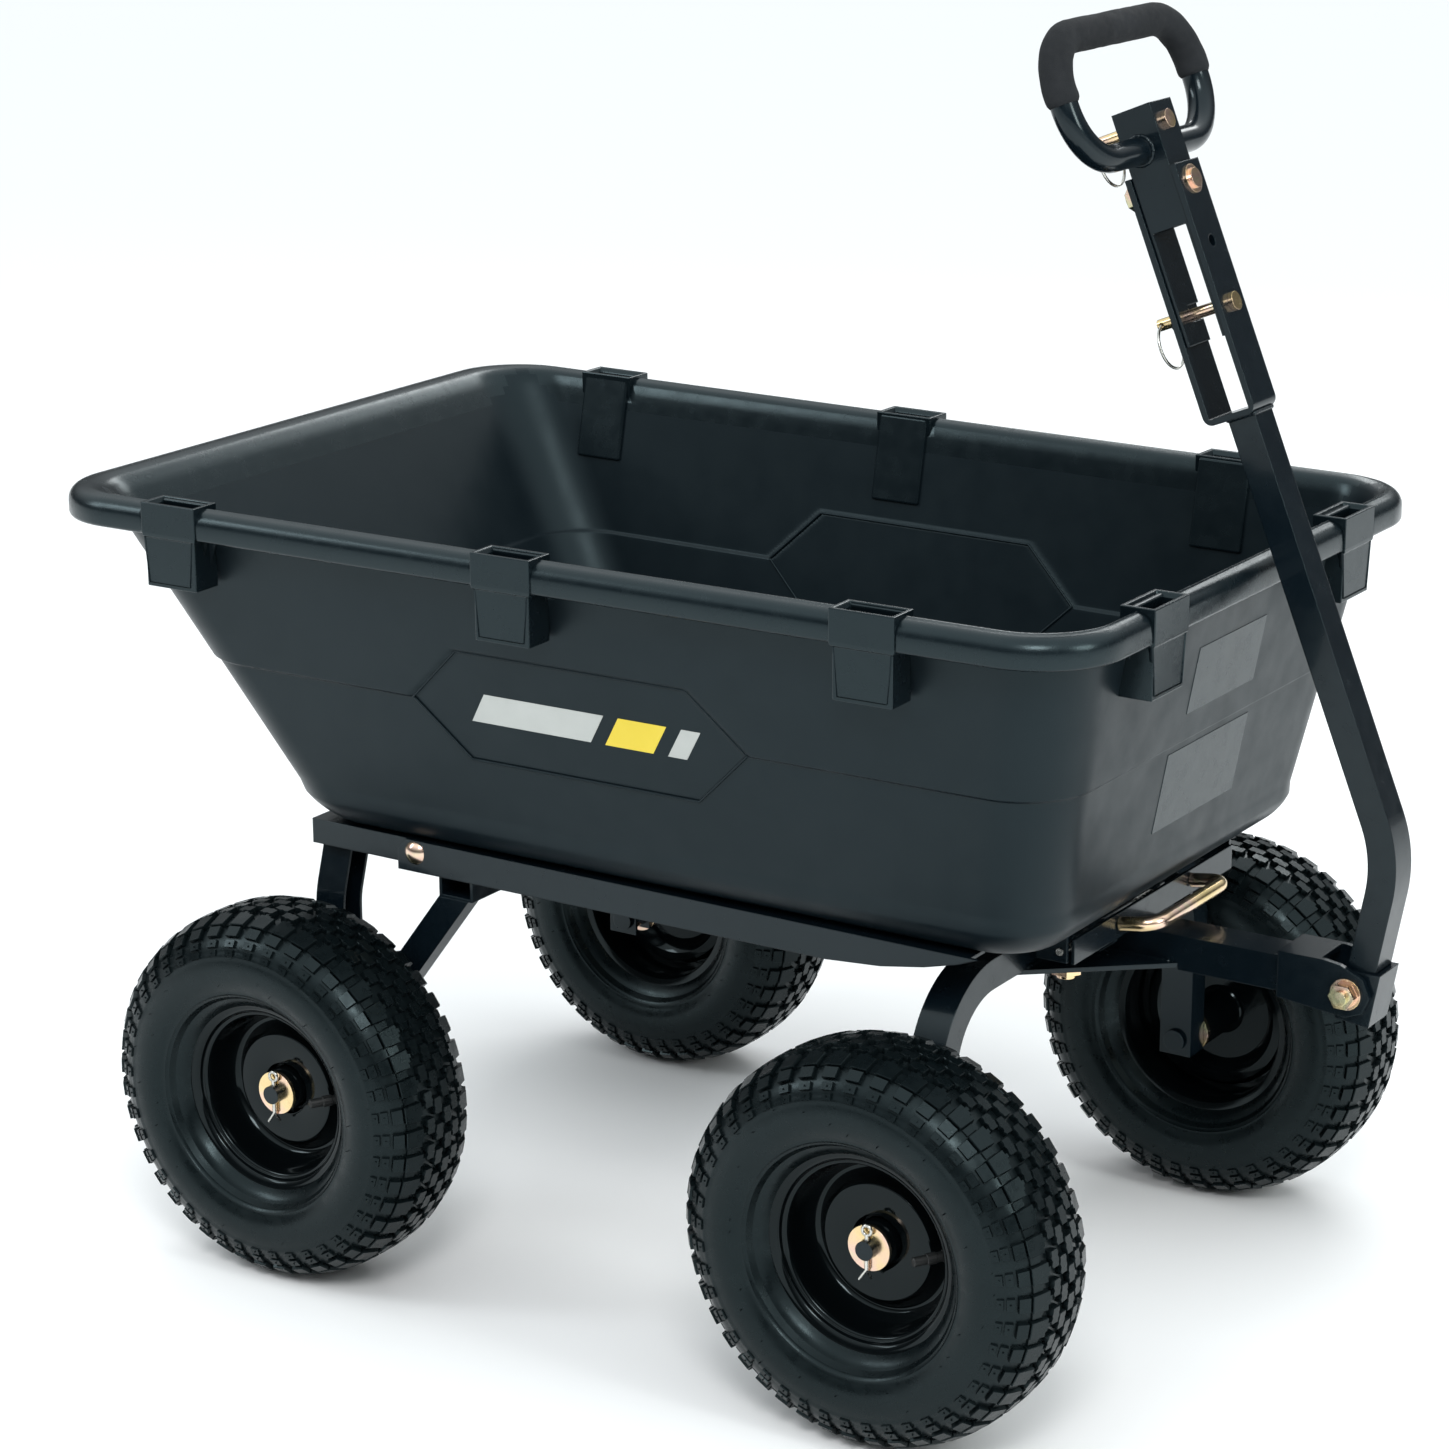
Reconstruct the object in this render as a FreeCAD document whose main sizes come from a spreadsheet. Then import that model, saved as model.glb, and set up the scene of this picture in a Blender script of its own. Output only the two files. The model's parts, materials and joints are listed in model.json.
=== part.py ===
"""Four-wheel garden dump cart: a poly tub that tips about the rear axle on a steel chassis,
a steered front axle, and a pull handle whose grip folds over into a tow clevis.

Frame: +X forward (towards the handle), +Z up, millimetres, origin on the ground below the
middle of the cart's length.  Left is +Y, right is -Y.
"""
import FreeCAD, Part
import math
import os
import re
import Sketcher
from FreeCAD import Placement, Rotation, Vector

doc = FreeCAD.newDocument("garden_cart")

# ---------------------------------------------------------------- driving dimensions
SIZES = {
    # wheels and axles
    "middle_x": -33.5,          # middle of the wheelbase
    "wheelbase": 596,
    "wheel_radius": 165,
    "wheel_y": 297,             # middle plane of each tyre
    "tyre_width": 118,
    "tread_radius": 156,        # shoulder, where the tread turns into the side wall
    "casing": 8,                # tyre wall thickness
    "rim_flange_radius": 89,
    "bead_radius": 77,
    "flange_y": 33,             # rim flange, from the tyre's middle plane
    "dish_y": 9,                # flat of the rim's disc, from the tyre's middle plane
    "hub_outer_y": 18,          # hub's outer end, from the tyre's middle plane
    "hub_inner_y": 55,          # hub's inner end, from the tyre's middle plane
    "hub_radius": 19,
    "bearing_radius": 16,
    "bearing_width": 11,
    "spindle_radius": 8,
    "spindle_tip_y": 326,
    # front and rear axle frames
    "leg_inner_y": 210,
    "leg_width": 26,
    "leg_depth": 30,
    "leg_foot_z": 151,
    "leg_wall": 3,
    "leg_set_back": 1,          # rear legs' middle behind the axle, clear of the rails' knuckles
    "arch_top_z": 356,
    "arch_height": 25,
    "arch_bend": 72,            # centre-line radius of the front arch's bends
    "rail_depth": 25,           # chassis rail, square to its length
    "rail_width": 19,
    "rail_angle": 53.2,         # rise of the chassis rail from the rear axle
    "cross_z": 341,             # underside of the chassis cross tube
    "cross_height": 20,
    "plate": 6,                 # kingpin plate
    "kingpin_radius": 8,
    # dumping bed
    "floor_z": 388,             # underside of the tub
    "skirt_z": 360,
    "skirt_y": 237.5,
    "sheet_steel": 3,
    "stub_inner_y": 201,
    "stub_height": 22,
    # tub, sharp outline of the walls' outer faces
    "tub_wall": 5,
    "tub_rear_low": -356,
    "tub_rear_high": -518,
    "tub_front_low": 366,
    "tub_front_high": 415,
    "tub_half_low": 250,
    "tub_half_rear": 311,
    "tub_half_front": 290,
    "tub_corner": 60,
    "tub_fillet": 34,
    "brim_z": 650,
    "brim_top_z": 675,
    "brim_rear_x": -561.5,
    "brim_front_x": 436,
    "brim_side": 26,            # lip outside the wall, at the sides
    "pocket_width": 56,
    "pocket_depth": 34,         # from the pocket's outer face to its inner wall
    "pocket_proud": 1.5,        # the pocket's outer face stands proud of the brim
    "pocket_rear_x": -410.5,
    "pocket_middle_x": -73.5,
    "pocket_front_x": 255.3,
    "pocket_front_y": 170,
    "pocket_low_z": 605.6,
    "pocket_top_z": 678,
    "slot_width": 46,
    "slot_depth": 19,
    # latch
    "strike_radius": 5,
    "strike_half": 90,
    "latch_half": 141,
    "latch_pin_radius": 3,
    "release_half": 64,
    "release_radius": 6,
    # hitch and handle
    "hitch_x": 527.5,
    "hitch_z": 336,
    "hitch_bolt_radius": 6,
    "tongue_low_z": 325,
    "tongue_half": 19,
    "tongue_height": 30,
    "clevis_plate": 5,
    "tube_depth": 24,
    "tube_half": 15,
    "bend_x": 553.3,
    "bend_z": 449,
    "lean": 22.2,               # the handle leans back from upright by this angle
    "handle_bend": 110,
    "pivot_rise": 554,          # from the tube's bend to the grip's pivot bolt
    "yoke_set_back": 7,         # yoke's middle behind the tube's middle
    "yoke_depth": 46,
    "yoke_half": 20,
    "yoke_strap": 5,
    "yoke_low": 187,            # below the pivot bolt
    "yoke_high": 15,            # above the pivot bolt
    "block_depth": 34.8,
    "block_half": 18,
    "block_wall": 2.5,
    "block_high": 66,
    "block_low": 31,
    "block_tail": 123,
    "pin_pitch": 50,            # spacing of the pin holes along the handle
    "pin_radius": 4.8,
    "pin_tail": 21,             # of a pin behind the yoke
    "clip_radius": 18,
    "pin_way": 0.4,             # room round the lock pin in the cheeks' open slots
    "pin_rise": 2.7,            # how much the pin rises in a slot as the grip folds
    "loop_half": 110,
    "loop_low": 33,
    "loop_high": 131,
    "loop_bend_low": 46,
    "loop_bend_high": 42,
    "loop_radius": 11,
    "foam_radius": 13.5,
}

sheet = doc.addObject("Spreadsheet::Sheet", "Sizes")
for row, (alias, value) in enumerate(SIZES.items(), start=1):
    sheet.set("A%d" % row, alias)
    sheet.set("B%d" % row, str(value))
    sheet.setAlias("B%d" % row, alias)
doc.recompute()

ALIAS = re.compile(r"\b(%s)\b" % "|".join(sorted(SIZES, key=len, reverse=True)))
REAR_X = "(middle_x - wheelbase / 2)"
FRONT_X = "(middle_x + wheelbase / 2)"
UPRIGHT = Rotation()
ALONG_Y = Rotation(Vector(1, 0, 0), -90)      # turns +Z to +Y
ALONG_X = Rotation(Vector(0, 1, 0), 90)       # turns +Z to +X
nodes = []


# ---------------------------------------------------------------- helpers
def bound(expression):
    """The expression with every alias pointed at the sheet."""
    return ALIAS.sub(r"Sizes.\1", str(expression))


def value_of(expression):
    """The number that an expression of the sheet's aliases comes to."""
    result = sheet.evalExpression(bound(expression))
    return float(getattr(result, "Value", result))


def bind(obj, **expressions):
    for name, expression in expressions.items():
        obj.setExpression(name, bound(expression))
    return obj


def place(obj, x, y, z, rotation=UPRIGHT):
    obj.Placement = Placement(Vector(value_of(x), value_of(y), value_of(z)), rotation)
    for axis, expression in zip("xyz", (x, y, z)):
        obj.setExpression("Placement.Base." + axis, bound(expression))
    return obj


def box(xs, ys, zs):
    """A block between two expressions on each axis."""
    block = doc.addObject("Part::Box", "Block")
    bind(block, Length="(%s) - (%s)" % (xs[1], xs[0]), Width="(%s) - (%s)" % (ys[1], ys[0]),
         Height="(%s) - (%s)" % (zs[1], zs[0]))
    return place(block, xs[0], ys[0], zs[0])


def rod(radius, length, x, y, z, rotation=UPRIGHT):
    """A round bar from a point, along +Z turned by the rotation."""
    bar = doc.addObject("Part::Cylinder", "Rod")
    bind(bar, Radius=radius, Height=length)
    return place(bar, x, y, z, rotation)


def hexagon(across_flats, height, x, y, z, rotation=UPRIGHT):
    """A hexagonal bar, for a nut or a bolt's head."""
    prism = doc.addObject("Part::Prism", "Hexagon")
    prism.Polygon = 6
    bind(prism, Circumradius="%s / 1.7320508" % across_flats, Height=height)
    return place(prism, x, y, z, rotation)


def fuse(*shapes):
    joined = doc.addObject("Part::MultiFuse", "Joined")
    joined.Shapes = list(shapes)
    joined.Refine = True
    return joined


def cut(base, *tools):
    carved = doc.addObject("Part::Cut", "Carved")
    carved.Base = base
    carved.Tool = tools[0] if len(tools) == 1 else fuse(*tools)
    return carved


def group(*shapes):
    """Separate solids that share a node."""
    gathered = doc.addObject("Part::Compound", "Group")
    gathered.Links = list(shapes)
    return gathered


def rounded(base, radius, test):
    """Fillet the edges whose middle point and edge pass the test."""
    doc.recompute()
    fillet = doc.addObject("Part::Fillet", "Rounded")
    fillet.Base = base
    size = value_of(radius)
    picked = []
    for index, edge in enumerate(base.Shape.Edges, start=1):
        first, last = edge.ParameterRange
        if test(edge.valueAt((first + last) / 2), edge):
            picked.append((index, size, size))
    fillet.Edges = picked
    return fillet


def straight(edge, axis):
    """True for a straight edge along the axis."""
    if not isinstance(edge.Curve, Part.Line):
        return False
    return abs(edge.Curve.Direction.dot(axis)) > 0.999


def solid(shape, name="Shaped"):
    """A sub-part whose shape is made by Part's own functions from the sheet's numbers."""
    feature = doc.addObject("Part::Feature", name)
    feature.Shape = shape
    return feature


def origin_plane(body, role):
    return next(f for f in body.Origin.OriginFeatures if f.Role == role)


def outline_sketch(body, plane, points):
    """A closed straight-sided sketch whose corners are bound to expressions."""
    sketch = body.newObject("Sketcher::SketchObject", "Outline")
    sketch.AttachmentSupport = [(origin_plane(body, plane), "")]
    sketch.MapMode = "FlatFace"
    corners = [Vector(value_of(a), value_of(b), 0) for a, b in points]
    count = len(corners)
    for i, corner in enumerate(corners):
        sketch.addGeometry(Part.LineSegment(corner, corners[(i + 1) % count]), False)
    for i in range(count):
        sketch.addConstraint(Sketcher.Constraint("Coincident", i, 2, (i + 1) % count, 1))
    for i, (a, b) in enumerate(points):
        for kind, expression in (("DistanceX", a), ("DistanceY", b)):
            number = value_of(expression)
            index = sketch.addConstraint(Sketcher.Constraint(kind, -1, 1, i, 1, number))
            sketch.setExpression("Constraints[%d]" % index, bound(expression))
    return sketch


def padded_outline(plane, points, length):
    """A plate: an outline padded evenly to both sides of its plane."""
    body = doc.addObject("PartDesign::Body", "Body")
    sketch = outline_sketch(body, plane, points)
    pad = body.newObject("PartDesign::Pad", "Pad")
    pad.Profile = sketch
    pad.SideType = "Symmetric"
    bind(pad, Length=length)
    body.Tip = pad
    return body


def turned_outline(points):
    """A turned piece: (distance along the axle, radius) corners spun about the Y axis."""
    body = doc.addObject("PartDesign::Body", "Body")
    sketch = outline_sketch(body, "YZ_Plane", points)
    revolution = body.newObject("PartDesign::Revolution", "Revolution")
    revolution.Profile = sketch
    revolution.ReferenceAxis = (origin_plane(body, "Y_Axis"), "")
    revolution.Angle = 360
    body.Tip = revolution
    return body


def node(obj, label):
    """Register a finished sub-part under its own name."""
    obj.Label = label
    nodes.append(obj)
    return obj


def bent_bar(points, bends, profile):
    """A profile (a wire at the first point) swept along straight runs joined by arcs."""
    edges = []
    start = points[0]
    for i in range(1, len(points) - 1):
        back = (points[i - 1] - points[i]).normalize()
        ahead = (points[i + 1] - points[i]).normalize()
        half = (math.pi - back.getAngle(ahead)) / 2
        reach = bends[i - 1] * math.tan(half)
        enter = points[i] + back * reach
        leave = points[i] + ahead * reach
        inward = (back + ahead).normalize()
        centre = points[i] + inward * (bends[i - 1] / math.cos(half))
        crown = centre - inward * bends[i - 1]
        edges.append(Part.LineSegment(start, enter).toShape())
        edges.append(Part.Arc(enter, crown, leave).toShape())
        start = leave
    edges.append(Part.LineSegment(start, points[-1]).toShape())
    return Part.Wire(edges).makePipeShell([profile], True, False)


def rectangle(centre, across, half_across, up, half_up):
    """A closed rectangular wire about a centre."""
    corners = [centre + across * (a * half_across) + up * (b * half_up)
               for a, b in ((-1, -1), (1, -1), (1, 1), (-1, 1))]
    return Part.makePolygon(corners + corners[:1])


def circle(centre, normal, radius):
    return Part.Wire(Part.Circle(centre, normal, radius).toShape())


# ---------------------------------------------------------------- wheels
def outboard(side):
    """Turns a wheel piece modelled with +Y outboard to the cart's left (+1) or right (-1)."""
    return UPRIGHT if side > 0 else Rotation(Vector(0, 0, 1), 180)


def wheel(name, x, side, valve_turn):
    centre = (x, "%d * wheel_y" % side, "wheel_radius")
    turn = outboard(side) * Rotation(Vector(0, 1, 0), valve_turn)

    half = "tyre_width / 2"
    tyre_body = turned_outline([
        ("-flange_y", "bead_radius"), ("-flange_y", "rim_flange_radius"),
        ("-%s" % half, "bead_radius + 40"),
        ("-%s + 4" % half, "tread_radius - 8"), ("-%s + 17" % half, "wheel_radius - 2"),
        ("-10", "wheel_radius"), ("10", "wheel_radius"),
        ("%s - 17" % half, "wheel_radius - 2"), ("%s - 4" % half, "tread_radius - 8"),
        (half, "bead_radius + 40"), ("flange_y", "rim_flange_radius"),
        ("flange_y", "bead_radius"), ("flange_y - casing", "bead_radius"),
        ("flange_y - casing", "rim_flange_radius"),
        ("%s - casing" % half, "bead_radius + 40"),
        ("%s - 19" % half, "wheel_radius - casing - 8"),
        ("-%s + 19" % half, "wheel_radius - casing - 8"),
        ("-%s + casing" % half, "bead_radius + 40"),
        ("-flange_y + casing", "rim_flange_radius"), ("-flange_y + casing", "bead_radius"),
    ])
    node(place(tyre_body, *centre, turn), name + "_tyre")

    # inner tube with its rubber valve stem, one moulding
    bag = turned_outline([
        ("-22", "bead_radius + 1"), ("-23", "rim_flange_radius"), ("-46", "bead_radius + 40"),
        ("-36", "wheel_radius - 20"), ("36", "wheel_radius - 20"), ("46", "bead_radius + 40"),
        ("23", "rim_flange_radius"), ("22", "bead_radius + 1"),
    ])
    hollow = turned_outline([
        ("-20", "bead_radius + 3"), ("-20.5", "rim_flange_radius"), ("-43.5", "bead_radius + 40"),
        ("-34", "wheel_radius - 22.5"), ("34", "wheel_radius - 22.5"),
        ("43.5", "bead_radius + 40"), ("20.5", "rim_flange_radius"), ("20", "bead_radius + 3"),
    ])
    stem = rod(4.5, 22, 0, 12, "-bead_radius - 8")
    valve = rod(3.4, 28, 0, 10, "-bead_radius + 12", Rotation(Vector(0, 0, 1), Vector(0, 0.8, 0.6)))
    node(place(fuse(cut(bag, hollow), stem, valve), *centre, turn), name + "_inner_tube")

    # pressed rim: two flanges, the barrel, the dished disc and the hub tube welded through it
    wall = 2.5
    barrel = turned_outline([
        ("-flange_y - %s" % wall, "rim_flange_radius"), ("-flange_y", "rim_flange_radius"),
        ("-flange_y", "bead_radius"), ("flange_y", "bead_radius"),
        ("flange_y", "rim_flange_radius"), ("flange_y + %s" % wall, "rim_flange_radius"),
        ("flange_y + %s" % wall, "bead_radius - %s" % wall),
        ("-flange_y - %s" % wall, "bead_radius - %s" % wall),
    ])
    disc = turned_outline([
        ("dish_y", "hub_radius - 1"), ("dish_y", 49), ("dish_y - 14", 66),
        ("dish_y - 14", "bead_radius - 1"), ("dish_y - 17", "bead_radius - 1"),
        ("dish_y - 17", 64.5), ("dish_y - 3", 47.5), ("dish_y - 3", "hub_radius - 1"),
    ])
    hub = turned_outline([
        ("-hub_inner_y", "bearing_radius"), ("-hub_inner_y", "hub_radius"),
        ("hub_outer_y", "hub_radius"), ("hub_outer_y", "bearing_radius"),
    ])
    valve_hole = rod(4.6, 20, 0, 12, "-bead_radius - 5")
    node(place(cut(fuse(barrel, disc, hub), valve_hole), *centre, turn), name + "_rim")

    # a ball bearing pressed into each end of the hub
    bore = "spindle_radius + 0.05"
    bearings = []
    for low in ("-hub_inner_y", "hub_outer_y - bearing_width"):
        high = "%s + bearing_width" % low
        bearings.append(turned_outline([(low, bore), (low, "bearing_radius"),
                                        (high, "bearing_radius"), (high, bore)]))
    node(place(group(*bearings), *centre, turn), name + "_bearings")


AXLES = {"rear": REAR_X, "front": FRONT_X}
for end, axle_x in AXLES.items():
    for hand, side, valve_turn in (("left", 1, 40), ("right", -1, 95)):
        wheel("%s_%s" % (end, hand), axle_x, side, valve_turn)


def spindle_set(end, x):
    """The two stub spindles of an axle, their washers and their cotter pins."""
    spindles, washers, cotters = [], [], []
    for side in (1, -1):
        turn = outboard(side)
        inner = "leg_inner_y - 2"
        bar = rod("spindle_radius", "spindle_tip_y - (%s)" % inner, 0, inner, 0, ALONG_Y)
        head = rod("spindle_radius + 2", 2, 0, "%s - 2" % inner, 0, ALONG_Y)
        cross_hole = rod(2, 40, 0, "spindle_tip_y - 4.5", -20)
        spindles.append(place(cut(fuse(bar, head), cross_hole), x, 0, "wheel_radius", turn))
        inner_washer = ("leg_inner_y + leg_width + 0.3", "wheel_y - hub_inner_y - 0.4")
        outer_washer = ("wheel_y + hub_outer_y + 0.4", "spindle_tip_y - 7.2")
        for low, high in (inner_washer, outer_washer):
            ring = turned_outline([(low, "spindle_radius"), (low, "hub_radius"),
                                   (high, "hub_radius"), (high, "spindle_radius")])
            washers.append(place(ring, x, 0, "wheel_radius", turn))
        shank = rod(1.8, 30, 0, "spindle_tip_y - 4.5", -17)
        leg_out = rod(1.2, 12, 0, "spindle_tip_y - 4.5", -17, Rotation(Vector(1, 0, 0), 145))
        leg_back = rod(1.2, 12, 0, "spindle_tip_y - 4.5", -17, Rotation(Vector(0, 1, 0), 145))
        eye = doc.addObject("Part::Torus", "Eye")
        bind(eye, Radius1=4, Radius2=1.4)
        place(eye, 0, "spindle_tip_y - 4.5", 16, ALONG_Y)
        cotters.append(place(fuse(shank, leg_out, leg_back, eye), x, 0, "wheel_radius", turn))
    node(group(*spindles), end + "_spindles")
    node(group(*washers), end + "_washers")
    node(group(*cotters), end + "_cotter_pins")


for end, axle_x in AXLES.items():
    spindle_set(end, axle_x)

# ---------------------------------------------------------------- chassis
CROSS_TOP = "(cross_z + cross_height)"
angle = value_of("rail_angle")
rise = math.radians(angle)
rail_length = "(cross_z - wheel_radius) / %.9f + 40" % math.sin(rise)
cross_centre_x = "(%s + (cross_z - wheel_radius) / %.9f)" % (REAR_X, math.tan(rise))
for hand, side in (("left", 1), ("right", -1)):
    inner = "%d * (leg_inner_y + leg_width / 2) - rail_width / 2" % side
    bar = doc.addObject("Part::Box", "Rail")
    bind(bar, Length=rail_length, Width="rail_width", Height="rail_depth")
    # the box's lower edge starts half a depth below the axle, square to the rail
    place(bar, "%s + rail_depth / 2 * %.9f" % (REAR_X, math.sin(rise)), inner,
          "wheel_radius - rail_depth / 2 * %.9f" % math.cos(rise),
          Rotation(Vector(0, 1, 0), -angle))
    knuckle = rod("rail_depth / 2", "rail_width", REAR_X, inner, "wheel_radius", ALONG_Y)
    above = box((REAR_X, "200"), (inner + " - 5", inner + " + rail_width + 5"),
                ("cross_z", "cross_z + 120"))
    bore = rod("spindle_radius", "rail_width", REAR_X, inner, "wheel_radius", ALONG_Y)
    node(cut(fuse(bar, knuckle), above, bore), "chassis_rail_" + hand)

rail_outer_y = "leg_inner_y + leg_width / 2 + rail_width / 2"
cross = box((cross_centre_x + " - 15", cross_centre_x + " + 20"),
            ("-(%s)" % rail_outer_y, rail_outer_y), ("cross_z", CROSS_TOP))
cross_bore = box((cross_centre_x + " - 12.5", cross_centre_x + " + 17.5"),
                 ("-(%s)" % rail_outer_y, rail_outer_y), ("cross_z + 2.5", CROSS_TOP + " - 2.5"))
node(cut(cross, cross_bore), "chassis_cross_tube")

backbone = []
for side in (1, -1):
    middle = "%d * 80" % side
    backbone.append(cut(
        box((cross_centre_x + " + 20", FRONT_X + " - 62"), (middle + " - 15", middle + " + 15"),
            ("cross_z", CROSS_TOP)),
        box((cross_centre_x + " + 20", FRONT_X + " - 62"),
            (middle + " - 12.5", middle + " + 12.5"),
            ("cross_z + 2.5", CROSS_TOP + " - 2.5"))))
node(group(*backbone), "backbone_rails")

PLATE_TOP = "(%s + plate)" % CROSS_TOP
plate = padded_outline("XY_Plane", [
    (FRONT_X + " - 130", "-95"), (FRONT_X + " - 50", "-95"), (FRONT_X + " + 40", "-45"),
    (FRONT_X + " + 40", "45"), (FRONT_X + " - 50", "95"), (FRONT_X + " - 130", "95")], "plate")
place(plate, 0, 0, "%s + plate / 2" % CROSS_TOP)
plate_bore = rod("kingpin_radius", "plate", FRONT_X, 0, CROSS_TOP)
node(cut(plate, plate_bore), "kingpin_plate")

# strike bar that the latch's hooks catch, welded on two lugs under the front of the plate
STRIKE_X, STRIKE_Z = "(%s + 48)" % FRONT_X, "(cross_z + 21)"
strike = rod("strike_radius", "2 * strike_half", STRIKE_X, "-strike_half", STRIKE_Z, ALONG_Y)
lugs = [box((FRONT_X + " + 34", STRIKE_X), (y, "%s + 5" % y), (CROSS_TOP + " - 4", CROSS_TOP))
        for y in ("-44", "39")]
node(fuse(strike, *lugs), "latch_strike")

bolt_low_z = "(arch_top_z - arch_height - 40)"
kingpin = fuse(rod("kingpin_radius", "%s - %s" % (PLATE_TOP, bolt_low_z), FRONT_X, 0, bolt_low_z),
               hexagon(24, 10, FRONT_X, 0, PLATE_TOP))
node(kingpin, "kingpin_bolt")
nut_low_z = "(arch_top_z - arch_height - 36)"
nut = cut(fuse(hexagon(24, 13, FRONT_X, 0, nut_low_z),
               rod(17, 2.5, FRONT_X, 0, nut_low_z + " + 13")),
          rod("kingpin_radius", 20, FRONT_X, 0, nut_low_z))
node(nut, "kingpin_nut")

# ---------------------------------------------------------------- dumping bed
# rear legs: channels open to the front, so that the chassis rails swing inside them
STUB_LOW = "(floor_z - stub_height)"


def rear_leg(side):
    back, half = value_of("-leg_depth / 2"), value_of("leg_width / 2")
    wall = value_of("leg_wall")
    x = value_of(REAR_X)
    foot = Vector(x - value_of("leg_set_back"), side * value_of("leg_inner_y + leg_width / 2"),
                  value_of("leg_foot_z"))
    knee = Vector(foot.x, foot.y, 318)
    top = Vector(foot.x, foot.y - side * 15, value_of(STUB_LOW))
    channel = [(back, -half), (back, half), (-back, half), (-back, half - wall),
               (back + wall, half - wall), (back + wall, wall - half), (-back, wall - half),
               (-back, -half)]
    points = [foot + Vector(a, b, 0) for a, b in channel]
    shape = bent_bar([foot, knee, top + (top - knee).normalize() * 8], [70],
                     Part.makePolygon(points + points[:1]))
    trim = Part.makeBox(200, 200, 60, Vector(x - 100, foot.y - 100, top.z))
    pin = Part.makeCylinder(value_of("spindle_radius + 0.05"), 80,
                            Vector(x, foot.y - 40, value_of("wheel_radius")), Vector(0, 1, 0))
    return shape.cut(trim).cut(pin)


node(group(solid(rear_leg(1)), solid(rear_leg(-1))), "rear_legs")

stubs = []
STUB_REAR_X = REAR_X + " - 18"
BOLT_X = REAR_X + " + 95"
for side in (1, -1):
    ys = sorted(("%d * stub_inner_y" % side, "%d * (skirt_y - sheet_steel)" % side), key=value_of)
    bore_ys = sorted(("%d * (stub_inner_y + 3)" % side, "%d * (skirt_y - sheet_steel - 3)" % side),
                     key=value_of)
    outer = box((STUB_REAR_X, BOLT_X + " + 40"), ys, (STUB_LOW, "floor_z"))
    inside = box((STUB_REAR_X, BOLT_X + " + 40"), bore_ys, (STUB_LOW + " + 3", "floor_z - 3"))
    hole = rod(6, "2 * skirt_y", BOLT_X, "-skirt_y", STUB_LOW + " + 11", ALONG_Y)
    stubs.append(cut(outer, inside, hole))
node(group(*stubs), "stub_rails")

# hull-shaped side rails: a pressed angle whose lower edge sweeps up to the tub at the front
SKIRT_REAR_X = BOLT_X + " - 18"
for hand, side in (("left", 1), ("right", -1)):
    web = padded_outline("XZ_Plane", [
        (SKIRT_REAR_X, "skirt_z"), (FRONT_X + " - 90", "skirt_z + 2"),
        (FRONT_X + " - 40", "skirt_z + 6"), (FRONT_X, "skirt_z + 13"),
        (FRONT_X + " + 30", "skirt_z + 21"), (FRONT_X + " + 48", "floor_z"),
        (SKIRT_REAR_X + " + 8", "floor_z"), (SKIRT_REAR_X, "floor_z - 8")], "sheet_steel")
    place(web, 0, "%d * (skirt_y - sheet_steel / 2)" % side, 0)
    ys = sorted(("%d * (skirt_y - 26)" % side, "%d * (skirt_y - 1)" % side), key=value_of)
    flange = box((BOLT_X + " + 40", FRONT_X + " + 40"), ys, ("floor_z - sheet_steel", "floor_z"))
    hole = rod(6, "2 * skirt_y + 10", BOLT_X, "-skirt_y - 5", STUB_LOW + " + 11", ALONG_Y)
    node(cut(fuse(web, flange), hole), "side_rail_" + hand)

# flat straps across the bed, under the tub
straps = []
STRAP_Y = "skirt_y - 26"
for strap_x in (BOLT_X + " + 45", "middle_x", FRONT_X + " - 20"):
    straps.append(box((strap_x, strap_x + " + 35"), ("-(%s)" % STRAP_Y, STRAP_Y),
                      ("floor_z - 4", "floor_z")))
rear_strap = box((REAR_X + " - 18", REAR_X + " + 17"), ("-stub_inner_y", "stub_inner_y"),
                 ("floor_z - 4", "floor_z"))
node(group(rear_strap, *straps), "bed_straps")

# round-headed bolts through the side rails and stub rails, with their nuts inside
bolts = []
for side in (1, -1):
    turn = ALONG_Y if side > 0 else Rotation(Vector(1, 0, 0), 90)
    reach = "skirt_y - stub_inner_y + 12"
    shank = rod(6, reach, BOLT_X, "%d * (stub_inner_y - 12)" % side, STUB_LOW + " + 11", turn)
    dome = doc.addObject("Part::Sphere", "Dome")
    bind(dome, Radius=13)
    place(dome, BOLT_X, "%d * (skirt_y - 8)" % side, STUB_LOW + " + 11")
    keep = rod(14, 10, BOLT_X, "%d * skirt_y" % side, STUB_LOW + " + 11", turn)
    cap = doc.addObject("Part::Common", "Cap")
    cap.Base = dome
    cap.Tool = keep
    hex_nut = hexagon(18, 9, BOLT_X, "%d * (stub_inner_y - 9)" % side, STUB_LOW + " + 11", turn)
    bolts.append(fuse(shank, cap, hex_nut))
node(group(*bolts), "rail_bolts")


# ---------------------------------------------------------------- tub
def tub_section(z, grow=0.0):
    """The wall's rounded outline at a height, grown outwards."""
    low, high = value_of("floor_z"), value_of("brim_z")
    t = (z - low) / (high - low)

    def between(a, b):
        return value_of(a) + (value_of(b) - value_of(a)) * t

    rear = between("tub_rear_low", "tub_rear_high") - grow
    front = between("tub_front_low", "tub_front_high") + grow
    half_rear = between("tub_half_low", "tub_half_rear") + grow
    half_front = between("tub_half_low - 8", "tub_half_front") + grow
    corners = [Vector(rear, -half_rear, z), Vector(front, -half_front, z),
               Vector(front, half_front, z), Vector(rear, half_rear, z)]
    return rounded_wire(corners, value_of("tub_corner") + grow)


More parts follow.
